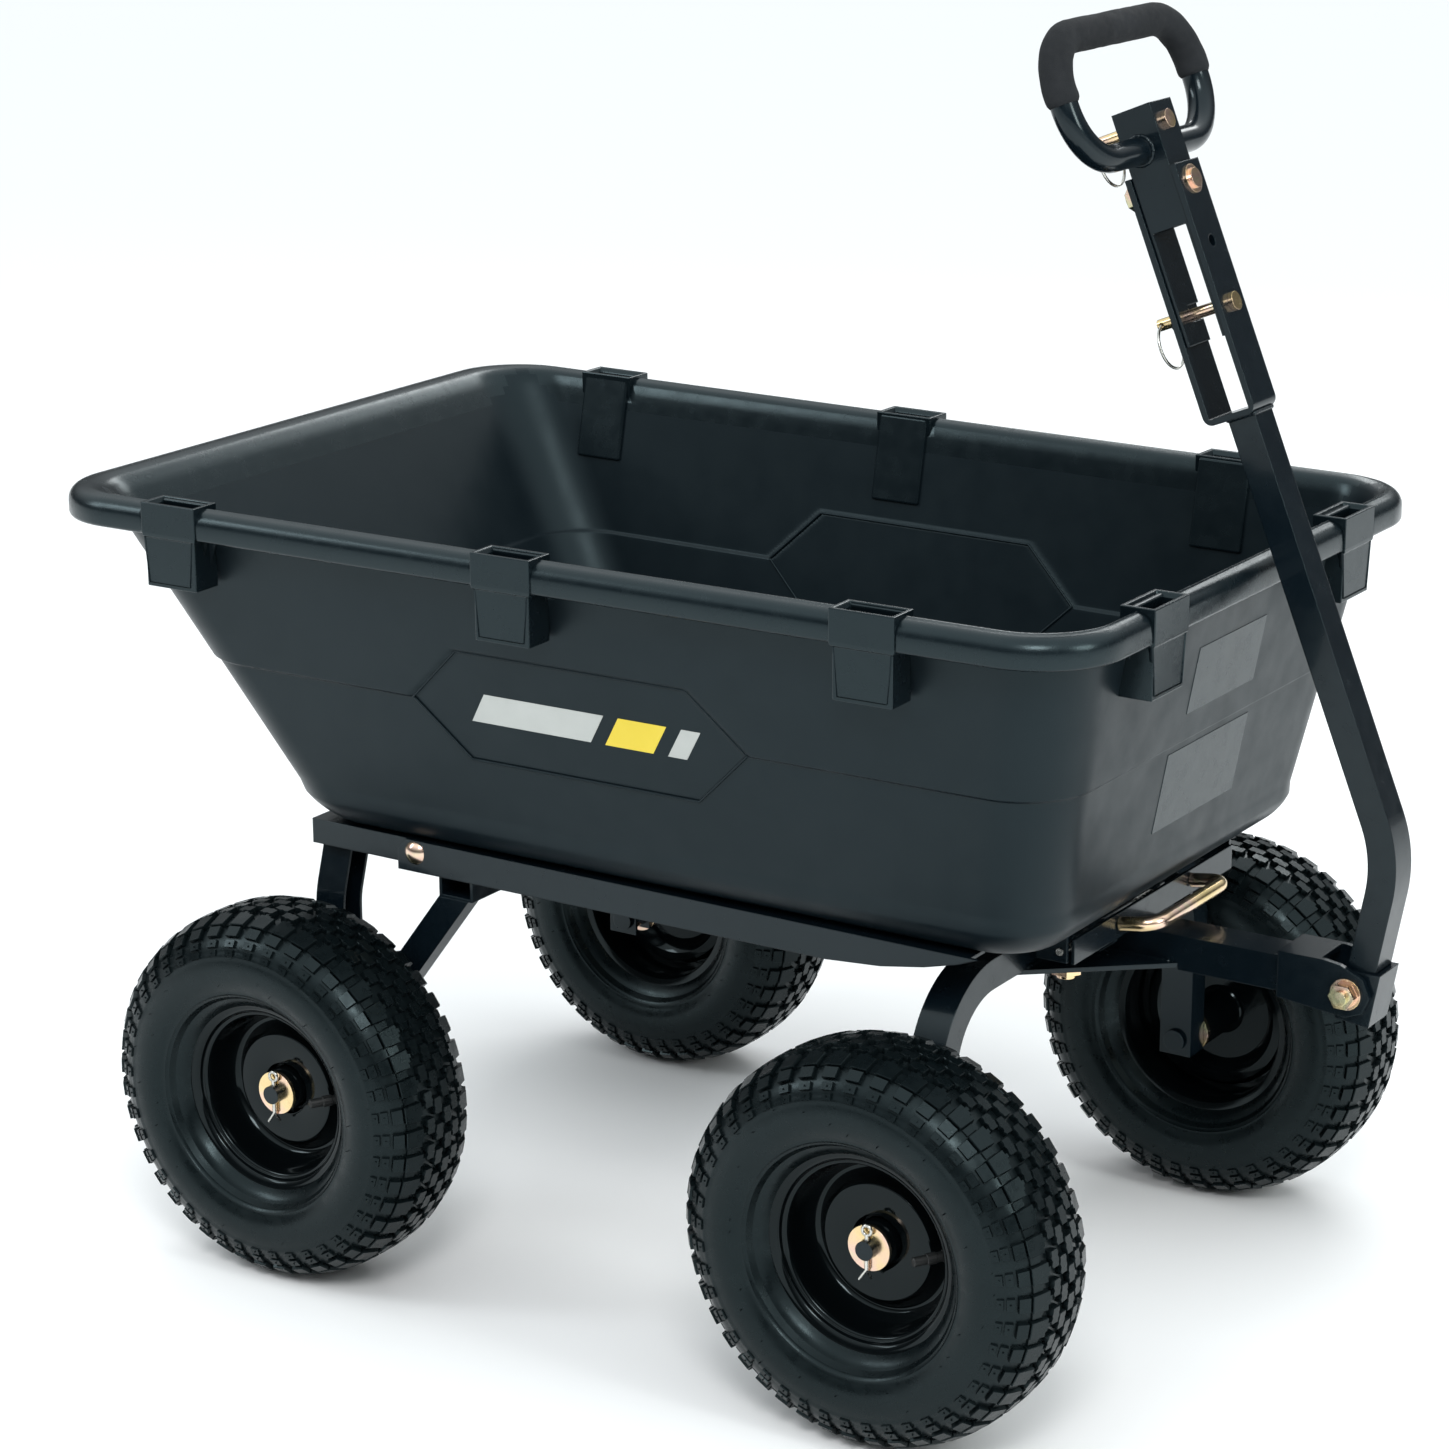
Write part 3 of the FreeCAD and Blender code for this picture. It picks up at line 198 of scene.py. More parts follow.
def passivated_zinc():
    """Zinc plate whose yellow passivation drifts to pink and green."""
    made = finish_of("yellow_zinc", (0.66, 0.52, 0.24), (0.82, 0.66, 0.36), (0.16, 0.28), 22, 600,
                     0.00004, strength=0.3, metal=1.0, edge=0.0005)
    ramp = next(n for n in made.node_tree.nodes if n.type == "VALTORGB").color_ramp
    for place, colour in ((0.46, (0.82, 0.62, 0.34, 1)), (0.55, (0.80, 0.56, 0.46, 1)),
                          (0.63, (0.66, 0.66, 0.40, 1))):
        ramp.elements.new(place).color = colour
    return made


COOL = (0.72, 0.95, 1.0)           # the photo's blacks lean to blue and green

MATERIALS = {
    "tub_plastic": finish_of("tub_plastic", (0.0030, 0.0060, 0.0085), (0.0045, 0.0080, 0.0108),
                             (0.33, 0.43), 5, 1400, 0.00022, strength=0.35, specular=0.24, tint=COOL),
    "brim_plastic": finish_of("brim_plastic", (0.0028, 0.0055, 0.0075), (0.0042, 0.0075, 0.0098),
                              (0.20, 0.30), 9, 1100, 0.00020, strength=0.35, specular=0.36, tint=COOL),
    "frame_paint": finish_of("frame_paint", (0.0020, 0.0045, 0.0070), (0.0032, 0.0065, 0.0095),
                             (0.18, 0.28), 12, 260, 0.00012, strength=0.25, coat=0.25, specular=0.22,
                             tint=COOL, edge=0.0016),
    "rim_paint": finish_of("rim_paint", (0.0012, 0.0020, 0.0024), (0.0020, 0.0030, 0.0036),
                           (0.07, 0.13), 10, 180, 0.0001, strength=0.12, coat=0.12, specular=0.16,
                           tint=COOL),
    "tyre_rubber": finish_of("tyre_rubber", (0.0016, 0.0032, 0.0038), (0.0034, 0.0054, 0.0062),
                             (0.22, 0.38), 14, 900, 0.0002, strength=0.4, specular=0.24, tint=COOL),
    "tube_rubber": finish_of("tube_rubber", (0.004, 0.005, 0.005), (0.009, 0.010, 0.010),
                             (0.45, 0.60), 30, 900, 0.0001),
    "foam": finish_of("foam", (0.0100, 0.0115, 0.0135), (0.0150, 0.0170, 0.0195), (0.80, 0.95), 25,
                      1700, 0.0006, strength=0.7, specular=0.25),
    "yellow_zinc": passivated_zinc(),
    "bright_steel": finish_of("bright_steel", (0.50, 0.50, 0.47), (0.68, 0.67, 0.62), (0.18, 0.34), 50,
                              700, 0.00006, metal=1.0, edge=0.0004),
    "stripe_grey": finish_of("stripe_grey", (0.42, 0.44, 0.42), (0.48, 0.50, 0.48), (0.35, 0.45), 20,
                             1200, 0.00005),
    "stripe_yellow": finish_of("stripe_yellow", (0.72, 0.55, 0.03), (0.78, 0.60, 0.05), (0.35, 0.45),
                               20, 1200, 0.00005),
}


# ---------------------------------------------------------------- mesh helpers
SHARP_BEVEL = 35                   # degrees between faces from which an edge is bevelled


def piece(name, verts, faces, material, body, smooth=True):
    """A new mesh object that rides on a body and takes a record slot's finish."""
    mesh = bpy.data.meshes.new(name)
    mesh.from_pydata([tuple(v) for v in verts], [], faces)
    mesh.update()
    shape = bmesh.new()
    shape.from_mesh(mesh)
    bmesh.ops.recalc_face_normals(shape, faces=shape.faces)
    shape.to_mesh(mesh)
    shape.free()
    mesh.materials.append(MATERIALS[material])
    for polygon in mesh.polygons:
        polygon.use_smooth = smooth
    made = bpy.data.objects.new(name, mesh)
    scene.collection.objects.link(made)
    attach(made, body)
    return made


def bevelled(made, width, segments=2):
    """Rounds the hard edges of a piece for good."""
    bpy.context.view_layer.objects.active = made
    for other in bpy.context.selected_objects:
        other.select_set(False)
    made.select_set(True)
    bevel = made.modifiers.new("edges", "BEVEL")
    bevel.width = width
    bevel.segments = segments
    bevel.limit_method = "ANGLE"
    bevel.angle_limit = math.radians(SHARP_BEVEL)
    bevel.harden_normals = False
    bpy.ops.object.modifier_apply(modifier="edges")


def smoothstep(low, high, value):
    t = min(1.0, max(0.0, (value - low) / (high - low)))
    return t * t * (3 - 2 * t)


def ring_faces(rings, count, closed_rings=False, first_ring=0):
    """Quads between neighbouring rings of count points each."""
    faces = []
    pairs = rings if closed_rings else rings - 1
    for k in range(pairs):
        a = first_ring + k * count
        b = first_ring + ((k + 1) % rings) * count
        for i in range(count):
            j = (i + 1) % count
            faces.append((a + i, a + j, b + j, b + i))
    return faces


def turned(profile, steps):
    """Points and quads of a closed (y, radius) profile spun about the Y axis."""
    verts = []
    for k in range(steps):
        angle = 2 * math.pi * k / steps
        c, s = math.cos(angle), math.sin(angle)
        verts.extend((r * s, y, r * c) for y, r in profile)
    return verts, ring_faces(steps, len(profile), closed_rings=True)


def curved(points, per_span):
    """A smooth open line through the points (Catmull-Rom)."""
    out = []
    last = len(points) - 1
    for k in range(last):
        p0, p1, p2, p3 = (Vector(points[min(last, max(0, i))]) for i in (k - 1, k, k + 1, k + 2))
        for step in range(per_span):
            t = step / per_span
            out.append(0.5 * (2 * p1 + (p2 - p0) * t + (2 * p0 - 5 * p1 + 4 * p2 - p3) * t * t
                              + (3 * p1 - p0 - 3 * p2 + p3) * t * t * t))
    out.append(Vector(points[-1]))
    return out


def rounded_line(corners, radius, steps):
    """Points of straight runs joined by arcs of one radius, for a bent bar."""
    out = [corners[0]]
    for i in range(1, len(corners) - 1):
        back = (corners[i - 1] - corners[i]).normalized()
        ahead = (corners[i + 1] - corners[i]).normalized()
        half = (math.pi - back.angle(ahead)) / 2
        reach = radius * math.tan(half)
        inward = (back + ahead).normalized()
        centre = corners[i] + inward * (radius / math.cos(half))
        start = corners[i] + back * reach - centre
        axis = start.cross(corners[i] + ahead * reach - centre).normalized()
        for step in range(steps + 1):
            out.append(centre + Matrix.Rotation(2 * half * step / steps, 3, axis) @ start)
    out.append(corners[-1])
    return out


def tube(path, radius_at, sides, closed=False):
    """Points and faces of a round bar along a path; radius_at takes (share of length, angle)."""
    lengths = [0.0]
    for a, b in zip(path, path[1:]):
        lengths.append(lengths[-1] + (b - a).length)
    verts = []
    count = len(path)
    side = None
    for k, point in enumerate(path):
        before = path[k - 1] if k or closed else path[0]
        after = path[(k + 1) % count] if closed or k < count - 1 else path[-1]
        along = (after - before).normalized()
        if side is None:
            side = along.orthogonal().normalized()
        side = (side - along * side.dot(along)).normalized()
        other = along.cross(side)
        share = lengths[k] / lengths[-1]
        for i in range(sides):
            angle = 2 * math.pi * i / sides
            radius = radius_at(share, angle)
            verts.append(point + (side * math.cos(angle) + other * math.sin(angle)) * radius)
    faces = ring_faces(count, sides, closed_rings=closed)
    if not closed:
        faces.append(tuple(range(sides)))
        faces.append(tuple(range((count - 1) * sides, count * sides)))
    return verts, faces


# ---------------------------------------------------------------- tub
TUB_LOW, TUB_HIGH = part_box("tub")
FLOOR = TUB_LOW.z
BRIM_TOP = TUB_HIGH.z - 0.003
BRIM_LOW = BRIM_TOP - 0.025
REAR_LIP, FRONT_LIP = TUB_LOW.x, TUB_HIGH.x - 0.0015
WALL = 0.005
BRIM_SIDE = 0.026
HALF_LOW, HALF_REAR, HALF_FRONT = 0.250, 0.311, 0.290
REAR_LOW, REAR_HIGH = REAR_LIP + 0.2055, REAR_LIP + 0.0435
FRONT_LOW, FRONT_HIGH = FRONT_LIP - 0.070, FRONT_LIP - 0.021
FRONT_TUCK = 0.008                 # how much narrower half the floor is at the front
CORNER = 0.060
BRIM_CORNER = CORNER + 0.014
BRIM_ROLL = 0.0125                 # radius of the brim's outer edge
MOUTH_ROUND = 0.0085               # radius where the inside meets the brim
ROUND_IN, ROUND_OUT = 0.029, 0.034 # radii between floor and walls
STEP_Z = 0.531                     # parting step round the outside
STEP_DEPTH = 0.0028
PANEL_X, PANEL_HALF, PANEL_FLAT, PANEL_RISE = -0.0400, 0.162, 0.111, 0.0485
SIDE_POINTS, END_POINTS, CORNER_POINTS = 196, 96, 14
POCKETS_X = (-0.4105, -0.0735, 0.2553)
POCKET_FRONT_Y = 0.170
POCKET_TOP = BRIM_TOP + 0.003
POCKET_LOW = POCKET_TOP - 0.0724
POCKET_RINGS = 0.64                # rings above this height dip into the pockets' slots
SIDE_SLOPE = (HALF_REAR - HALF_FRONT) / (FRONT_LIP - REAR_LIP)


def loop_points(rear, front, half_rear, half_front, radius):
    """Evenly numbered points round a four-sided outline with rounded corners, and their outward
    directions."""
    corners = [Vector((rear, -half_rear)), Vector((front, -half_front)), Vector((front, half_front)),
               Vector((rear, half_rear))]
    arcs = []
    for i, corner in enumerate(corners):
        back = (corners[i - 1] - corner).normalized()
        ahead = (corners[(i + 1) % 4] - corner).normalized()
        half = (math.pi - back.angle(ahead)) / 2
        inward = (back + ahead).normalized()
        centre = corner + inward * (radius / math.cos(half))
        start = corner + back * (radius * math.tan(half)) - centre
        first = math.atan2(start.y, start.x)
        turns = [first + 2 * half * k / CORNER_POINTS for k in range(CORNER_POINTS + 1)]
        outward = [Vector((math.cos(a), math.sin(a))) for a in turns]
        arcs.append([(centre + radius * n, n) for n in outward])
    out = []
    for i, count in enumerate((SIDE_POINTS, END_POINTS, SIDE_POINTS, END_POINTS)):
        out.extend(arcs[i])
        start, stop = arcs[i][-1], arcs[(i + 1) % 4][0]
        for k in range(1, count):
            share = k / count
            out.append((start[0].lerp(stop[0], share), start[1]))
    return out


def wall_reach(z):
    """(rear, front, half width at the rear, half width at the front) of the plain wall at a height."""
    t = (z - FLOOR) / (BRIM_LOW - FLOOR)
    return (REAR_LOW + (REAR_HIGH - REAR_LOW) * t, FRONT_LOW + (FRONT_HIGH - FRONT_LOW) * t,
            HALF_LOW + (HALF_REAR - HALF_LOW) * t,
            HALF_LOW - FRONT_TUCK + (HALF_FRONT - HALF_LOW + FRONT_TUCK) * t)


def wall_loop(z, grow):
    """Outline of the wall at a height, moved outwards by grow."""
    rear, front, half_rear, half_front = wall_reach(z)
    return loop_points(rear - grow, front + grow, half_rear + grow, half_front + grow, CORNER + grow)


def brim_loop(inset):
    """Outline of the brim, moved inwards by inset."""
    return loop_points(REAR_LIP + inset, FRONT_LIP - inset, HALF_REAR + BRIM_SIDE - inset,
                       HALF_FRONT + BRIM_SIDE - inset, BRIM_CORNER - inset)


def in_panel(x, z):
    """1 inside the hexagonal panel of the side walls, 0 outside, with a narrow slope between."""
    up = abs(z - STEP_Z) / PANEL_RISE
    reach = PANEL_HALF - (PANEL_HALF - PANEL_FLAT) * up
    return smoothstep(0.003, -0.001, abs(x - PANEL_X) - reach) * smoothstep(1.03, 0.99, up)


def relief(x, y, z):
    """How far the skin stands out from the plain wall: less than 0 below the parting step, and in
    the side panels, which are level with the wall below the step."""
    below = smoothstep(STEP_Z + 0.0012, STEP_Z - 0.0012, z)
    on_side = abs(y) > 0.2
    panel = in_panel(x, z) if on_side else 0.0
    return -STEP_DEPTH * max(below, panel)


def pocket_places():
    """(x, y, turn) of each stake pocket's outer face."""
    for x in POCKETS_X:
        reach = HALF_REAR + BRIM_SIDE - SIDE_SLOPE * (x - REAR_LIP)
        for side in (1, -1):
            yield x, side * reach, side * (math.pi / 2 - math.atan(SIDE_SLOPE))
    for side in (1, -1):
        yield FRONT_LIP, side * POCKET_FRONT_Y, 0.0


def tub_profile():
    """(outline, height, relief share) from the floor's middle inside, over the brim, to the floor's
    middle outside."""
    rings = []
    shrink = [0.02, 0.2, 0.4, 0.6, 0.8, 0.93]
    slope = math.atan((HALF_REAR - HALF_LOW) / (BRIM_LOW - FLOOR))

    def floor_rings(z, grow, radius, order):
        base = wall_loop(z + radius * 0.2, grow - radius * 0.72)
        middle = sum((p for p, _ in base), Vector((0, 0))) / len(base)
        for share in order:
            rings.append(([(middle + (p - middle) * share, n) for p, n in base], z, 0.0))

    def bend_rings(z, grow, radius, order):
        for share in order:
            angle = (math.pi / 2 - slope) * share
            inset = radius * (1 - math.sin(angle)) * 0.93
            rings.append((wall_loop(z + radius * (1 - math.cos(angle)), grow - inset),
                          z + radius * (1 - math.cos(angle)), 0.0))

    steps = [k / 9 for k in range(10)]
    floor_rings(FLOOR + WALL, -WALL, ROUND_IN, shrink)
    bend_rings(FLOOR + WALL, -WALL, ROUND_IN, steps)
    heights = [FLOOR + 0.036 + k * 0.006 for k in range(8)]
    heights += [0.478 + k * 0.0022 for k in range(23)]
    heights += [0.5292, 0.5300, 0.5306, 0.5312, 0.5320, 0.5328]
    heights += [0.535 + k * 0.0022 for k in range(23)]
    heights += [0.590 + k * 0.007 for k in range(11)]
    for z in heights:
        rings.append((wall_loop(z, -WALL), z, 1.0))
    for share in (0.25, 0.5, 0.75, 1.0):
        angle = share * math.pi / 2
        z = BRIM_TOP - MOUTH_ROUND + MOUTH_ROUND * math.sin(angle)
        rings.append((wall_loop(z, -WALL + MOUTH_ROUND * (1 - math.cos(angle))), z, 0.0))
    top = rings[-1][0]
    far = brim_loop(BRIM_ROLL)
    for share in (0.25, 0.5, 0.75, 1.0):
        lift = 0.0008 * math.sin(share * math.pi)
        rings.append(([(a.lerp(b, share), n) for (a, n), (b, _) in zip(top, far)],
                      BRIM_TOP + lift, 0.0))
    for share in (0.14, 0.28, 0.42, 0.56, 0.7, 0.85, 1.0):
        angle = share * math.pi / 2
        rings.append((brim_loop(BRIM_ROLL * (1 - math.sin(angle))),
                      BRIM_TOP - BRIM_ROLL + BRIM_ROLL * math.cos(angle), 0.0))
    for inset, z in ((0.0, BRIM_LOW + 0.003), (0.0006, BRIM_LOW + 0.0012), (0.0018, BRIM_LOW),
                     (0.003, BRIM_LOW + 0.0004), (0.0038, BRIM_LOW + 0.002), (0.0040, BRIM_TOP - 0.014),
                     (0.006, BRIM_TOP - 0.008), (0.012, BRIM_TOP - 0.005)):
        rings.append((brim_loop(inset), z, 0.0))
    rings.append((wall_loop(BRIM_TOP - 0.005, 0.006), BRIM_TOP - 0.005, 0.0))
    rings.append((wall_loop(BRIM_TOP - 0.007, 0.0015), BRIM_TOP - 0.007, 0.0))
    for z in reversed(heights[:-1]):
        rings.append((wall_loop(z, 0.0), z, 1.0))
    bend_rings(FLOOR, 0.0, ROUND_OUT, list(reversed(steps)))
    floor_rings(FLOOR, 0.0, ROUND_OUT, list(reversed(shrink)))
    return rings


def tub_mesh():
    """Every ring of the moulding, with the step, the panels and the sunken stake slots."""
    half_slot, slot_near, slot_far = 0.0235, 0.0005, -0.0255
    places = [(Vector((x, y)), Vector((math.cos(turn), math.sin(turn))),
               Vector((-math.sin(turn), math.cos(turn)))) for x, y, turn in pocket_places()]
    verts = []
    rings = tub_profile()
    for ring, z, share in rings:
        for point, outward in ring:
            spot = point.copy()
            height = z
            if share:
                spot += outward * relief(point.x, point.y, z) * share
            if z > POCKET_RINGS:
                for centre, ahead, across in places:
                    away = spot - centre
                    if abs(away.dot(across)) < half_slot and slot_far < away.dot(ahead) < slot_near:
                        height = min(height, POCKET_LOW + 0.0035)
            verts.append((spot.x, spot.y, height))
    count = len(rings[0][0])
    faces = ring_faces(len(rings), count)
    last = (len(rings) - 1) * count
    for base in (0, last):
        middle = sum((Vector(verts[base + i]) for i in range(count)), Vector()) / count
        verts.append(tuple(middle))
        hub = len(verts) - 1
        faces.extend((base + i, base + (i + 1) % count, hub) for i in range(count))
    return verts, faces


def make_tub():
    verts, faces = tub_mesh()
    tub = piece("tub_shell", verts, faces, "tub_plastic", "bed")
    tub.data.materials.append(MATERIALS["brim_plastic"])
    for polygon in tub.data.polygons:
        if polygon.center.z > BRIM_LOW - 0.001 and polygon.normal.length:
            reach = HALF_REAR - SIDE_SLOPE * (polygon.center.x - REAR_LIP)
            outside = abs(polygon.center.y) > reach - 0.006
            ends = not REAR_HIGH + 0.006 < polygon.center.x < FRONT_HIGH - 0.006
            polygon.material_index = 1 if outside or ends else 0
    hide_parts("tub")


def stake_pocket(index, x, y, turn):
    """A pocket: the box below the brim, the wider collar round the brim, and the open slot."""
    low, seam, top = POCKET_LOW, BRIM_LOW - 0.002, POCKET_TOP
    half, collar = 0.0262, 0.0285
    back, lower_back = -0.0285, -0.0300
    front, lower_front = 0.0015, -0.0006
    slot_front, slot_back, slot_half = -0.0050, -0.0242, 0.0228
    lip = 0.0035

    def level(z, face, rear, width):
        return [(face, -width, z), (face, width, z), (rear, width, z), (rear, -width, z)]

    levels = [level(low, lower_front - 0.0004, lower_back, half - 0.0002),
              level(seam, lower_front, lower_back, half),
              level(seam + 0.0006, front - 0.0004, back, collar - 0.0006),
              level(seam + 0.004, front, back, collar),
              level(top, front, back, collar),
              level(top, front - lip, back + lip, collar - lip),
              level(top - 0.004, slot_front, slot_back, slot_half),
              level(low + 0.005, slot_front, slot_back, slot_half)]
    verts = [Vector(v) for ring in levels for v in ring]
    faces = ring_faces(len(levels), 4)
    faces.append((3, 2, 1, 0))
    faces.append(tuple(range(len(verts) - 4, len(verts))))
    stand = Matrix.Translation((x, y, 0)) @ Matrix.Rotation(turn, 4, "Z")
    made = piece("stake_pocket_%d" % index, [stand @ v for v in verts], faces, "brim_plastic", "bed",
                 smooth=False)
    bevelled(made, 0.0009)


def pocket_panel(index, x, y, turn):
    """The flat raised panel that a pocket leaves on the inside of the wall."""
    half, proud = 0.0252, 0.0032
    levels = []
    for z in (POCKET_LOW - 0.007, BRIM_TOP + 0.0015):
        skin = abs(wall_y(x, z, 1)) - abs(y) if turn else wall_reach(z)[1] - x
        levels.append((skin - 0.002, skin - WALL - proud, z))
    verts = [Vector((depth, u, z)) for outer, inner, z in levels
             for depth, u in ((outer, -half), (outer, half), (inner, half), (inner, -half))]
    faces = ring_faces(2, 4) + [(3, 2, 1, 0), (4, 5, 6, 7)]
    stand = Matrix.Translation((x, y, 0)) @ Matrix.Rotation(turn, 4, "Z")
    made = piece("pocket_panel_%d" % index, [stand @ v for v in verts], faces, "brim_plastic", "bed",
                 smooth=False)
    bevelled(made, 0.0024, 3)


def wall_y(x, z, side):
    """Outer face of a side wall where it is plain, with no step or panel."""
    rear, front, half_rear, half_front = wall_reach(z)
    return side * (half_rear + (half_front - half_rear) * (x - rear) / (front - rear))


def panel_ridges():
    """The fine raised line round each hexagonal panel, outside and inside."""
    steps, line_radius = 24, 0.0011
    corners = [(-PANEL_HALF, 0), (-PANEL_FLAT, PANEL_RISE), (PANEL_FLAT, PANEL_RISE), (PANEL_HALF, 0),
               (PANEL_FLAT, -PANEL_RISE), (-PANEL_FLAT, -PANEL_RISE)]
    for side, hand in ((1, "left"), (-1, "right")):
        for depth, where in ((-STEP_DEPTH * 0.7, "outer"), (-WALL - STEP_DEPTH * 1.12, "inner")):
            path = []
            for i, (a, b) in enumerate(corners):
                c, d = corners[(i + 1) % 6]
                for k in range(steps):
                    x = PANEL_X + a + (c - a) * k / steps
                    z = STEP_Z + b + (d - b) * k / steps
                    path.append(Vector((x, wall_y(x, z, side) + side * depth, z)))
            verts, faces = tube(path, lambda share, angle: line_radius, 8, closed=True)
            piece("panel_line_%s_%s" % (where, hand), verts, faces, "tub_plastic", "bed")


def slab_on(name, outline, place_on, thickness, material):
    """A thin sheet whose (a, b) outline is laid on a wall by place_on(a, b, lift)."""
    count = len(outline)
    sunk = -0.0005
    verts = [place_on(a, b, lift) for lift in (sunk, thickness) for a, b in outline]
    faces = [tuple(range(count)), tuple(range(count, 2 * count))]
    faces += [(i, (i + 1) % count, count + (i + 1) % count, count + i) for i in range(count)]
    return piece(name, verts, faces, material, "bed", smooth=False)


def make_markings():
    """Plain slanted stripes on each side panel, and two blank plates on the front wall."""
    for side, hand in ((1, "left"), (-1, "right")):
        def on_side(x, z, lift):
            return (x, wall_y(x, z, side) + side * (lift - STEP_DEPTH), z)

        slant, half = 0.016, 0.013
        for name, material, start, stop in (("stripe_grey_", "stripe_grey", -0.105, 0.012),
                                            ("stripe_yellow_", "stripe_yellow", 0.026, 0.072),
                                            ("stripe_end_", "stripe_grey", 0.086, 0.104)):
            outline = [(PANEL_X + start, STEP_Z - half), (PANEL_X + stop, STEP_Z - half),
                       (PANEL_X + stop + slant, STEP_Z + half), (PANEL_X + start + slant, STEP_Z + half)]
            slab_on(name + hand, outline, on_side, 0.0003, material)

    def on_front(y, z, lift):
        below = STEP_DEPTH if z < STEP_Z else 0.0
        return (wall_reach(z)[1] + lift - below, y, z)

    for index, (half, low, high) in enumerate(((0.060, 0.556, 0.612), (0.072, 0.456, 0.524)), start=1):
        outline = [(-half, low), (half, low), (half, high), (-half, high)]
        made = slab_on("blank_plate_%d" % index, outline, on_front, 0.0004, "brim_plastic")
        bevelled(made, 0.0002, 1)


# ---------------------------------------------------------------- wheels
WHEEL_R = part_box("rear_left_tyre")[1].z / 2
LUG = 0.005                        # height of the tread's lugs
LUG_COUNT = 44                     # pitches round the tyre
TYRE_STEPS, RIM_STEPS = 176, 160
NUBS_ROUND = 34                    # on each side wall
TREAD_TURN = {"rear_left": 17, "rear_right": 143, "front_left": 71, "front_right": 209}
VALVE_TURN = {"left": 40, "right": 95}


def tyre_outline():
    """Outer (y, radius) line of the casing from one bead to the other, lugs left off."""
    crown = WHEEL_R - LUG
    half = [(0.0, crown), (0.012, crown - 0.0002), (0.024, crown - 0.0014), (0.035, crown - 0.0044),
            (0.044, crown - 0.0096), (0.051, crown - 0.0175), (0.0555, crown - 0.028),
            (0.0578, crown - 0.040), (0.0565, crown - 0.052), (0.0510, crown - 0.063),
            (0.0425, crown - 0.0695), (0.0375, crown - 0.0718)]
    right = curved([(y, r, 0) for y, r in half], 6)
    return [(-p.x, p.y) for p in reversed(right[1:])] + [(p.x, p.y) for p in right]


class Casing:
    """The casing's outer line measured by distance across the tread from the crown."""

    def __init__(self):
        self.line = [p for p in tyre_outline() if p[0] >= -1e-9]
        self.reach = [0.0]
        for a, b in zip(self.line, self.line[1:]):
            self.reach.append(self.reach[-1] + math.dist(a, b))

    def at(self, across, lift):
        """(y, radius) at a distance across the tread, lifted off the casing."""
        side, distance = (1 if across >= 0 else -1), abs(across)
        k = max(i for i, r in enumerate(self.reach) if r <= distance or i == 0)
        k = min(k, len(self.line) - 2)
        a, b = self.line[k], self.line[k + 1]
        span = self.reach[k + 1] - self.reach[k]
        share = (distance - self.reach[k]) / span
        dy, dr = (b[0] - a[0]) / span, (b[1] - a[1]) / span
        y, r = a[0] + (b[0] - a[0]) * share, a[1] + (b[1] - a[1]) * share
        return side * (y - dr * lift), r + dy * lift


def jagged(near, far, start, stop, tooth=0.0011):
    """A lug with saw-toothed flanks."""
    span = stop - start
    rise = [(near, start), (far, start)]
    rise += [(far + tooth * (k % 2), start + span * k / 5) for k in range(1, 5)]
    fall = [(far, stop), (near, stop)]
    fall += [(near - tooth * (k % 2), stop - span * k / 5) for k in range(1, 5)]
    return rise + fall


def plain(near, far, start, stop):
    return [(near, start), (far, start), (far, stop), (near, stop)]


def shoulder_lug(near, far, start, stop):
    """A long smooth lug whose inner end is cut in steps."""
    middle = (start + stop) / 2
    return [(near + 0.0030, start), (far, start + 0.04), (far, stop - 0.02), (near + 0.0012, stop),
            (near + 0.0012, middle + 0.17), (near - 0.0012, middle + 0.17), (near - 0.0012, middle + 0.02),
            (near + 0.0010, middle + 0.02), (near + 0.0010, middle - 0.14), (near + 0.0030, middle - 0.14)]


def lug_shapes():
    """(outline, lift) of the lugs of one pitch: outline points are (across, share of a pitch)."""
    shapes = []
    for side in (1, -1):
        shift = 0.0 if side > 0 else 0.5
        rows = [(jagged(0.0016, 0.0098, 0.04, 0.66), LUG), (jagged(0.0122, 0.0200, 0.40, 1.00), LUG),
                (shoulder_lug(0.0236, 0.0405, 0.04, 0.74), LUG),
                (plain(0.0418, 0.0505, 0.12, 0.70), LUG - 0.0006),
                (plain(0.0530, 0.0592, 0.18, 0.68), 0.0026), (plain(0.0612, 0.0668, 0.20, 0.64), 0.0021)]
        for across in (0.0561, 0.0640):
            dot = [(across + 0.0008 * math.cos(k * math.pi / 3), 0.43 + 0.035 * math.sin(k * math.pi / 3))
                   for k in range(6)]
            rows.append((dot, 0.0036 if across < 0.06 else 0.0030))
        rows.append((plain(0.0290, 0.0390, 0.76, 1.04), 0.0018))
        shapes += [([(side * a, b + shift) for a, b in outline], lift) for outline, lift in rows]
    return shapes


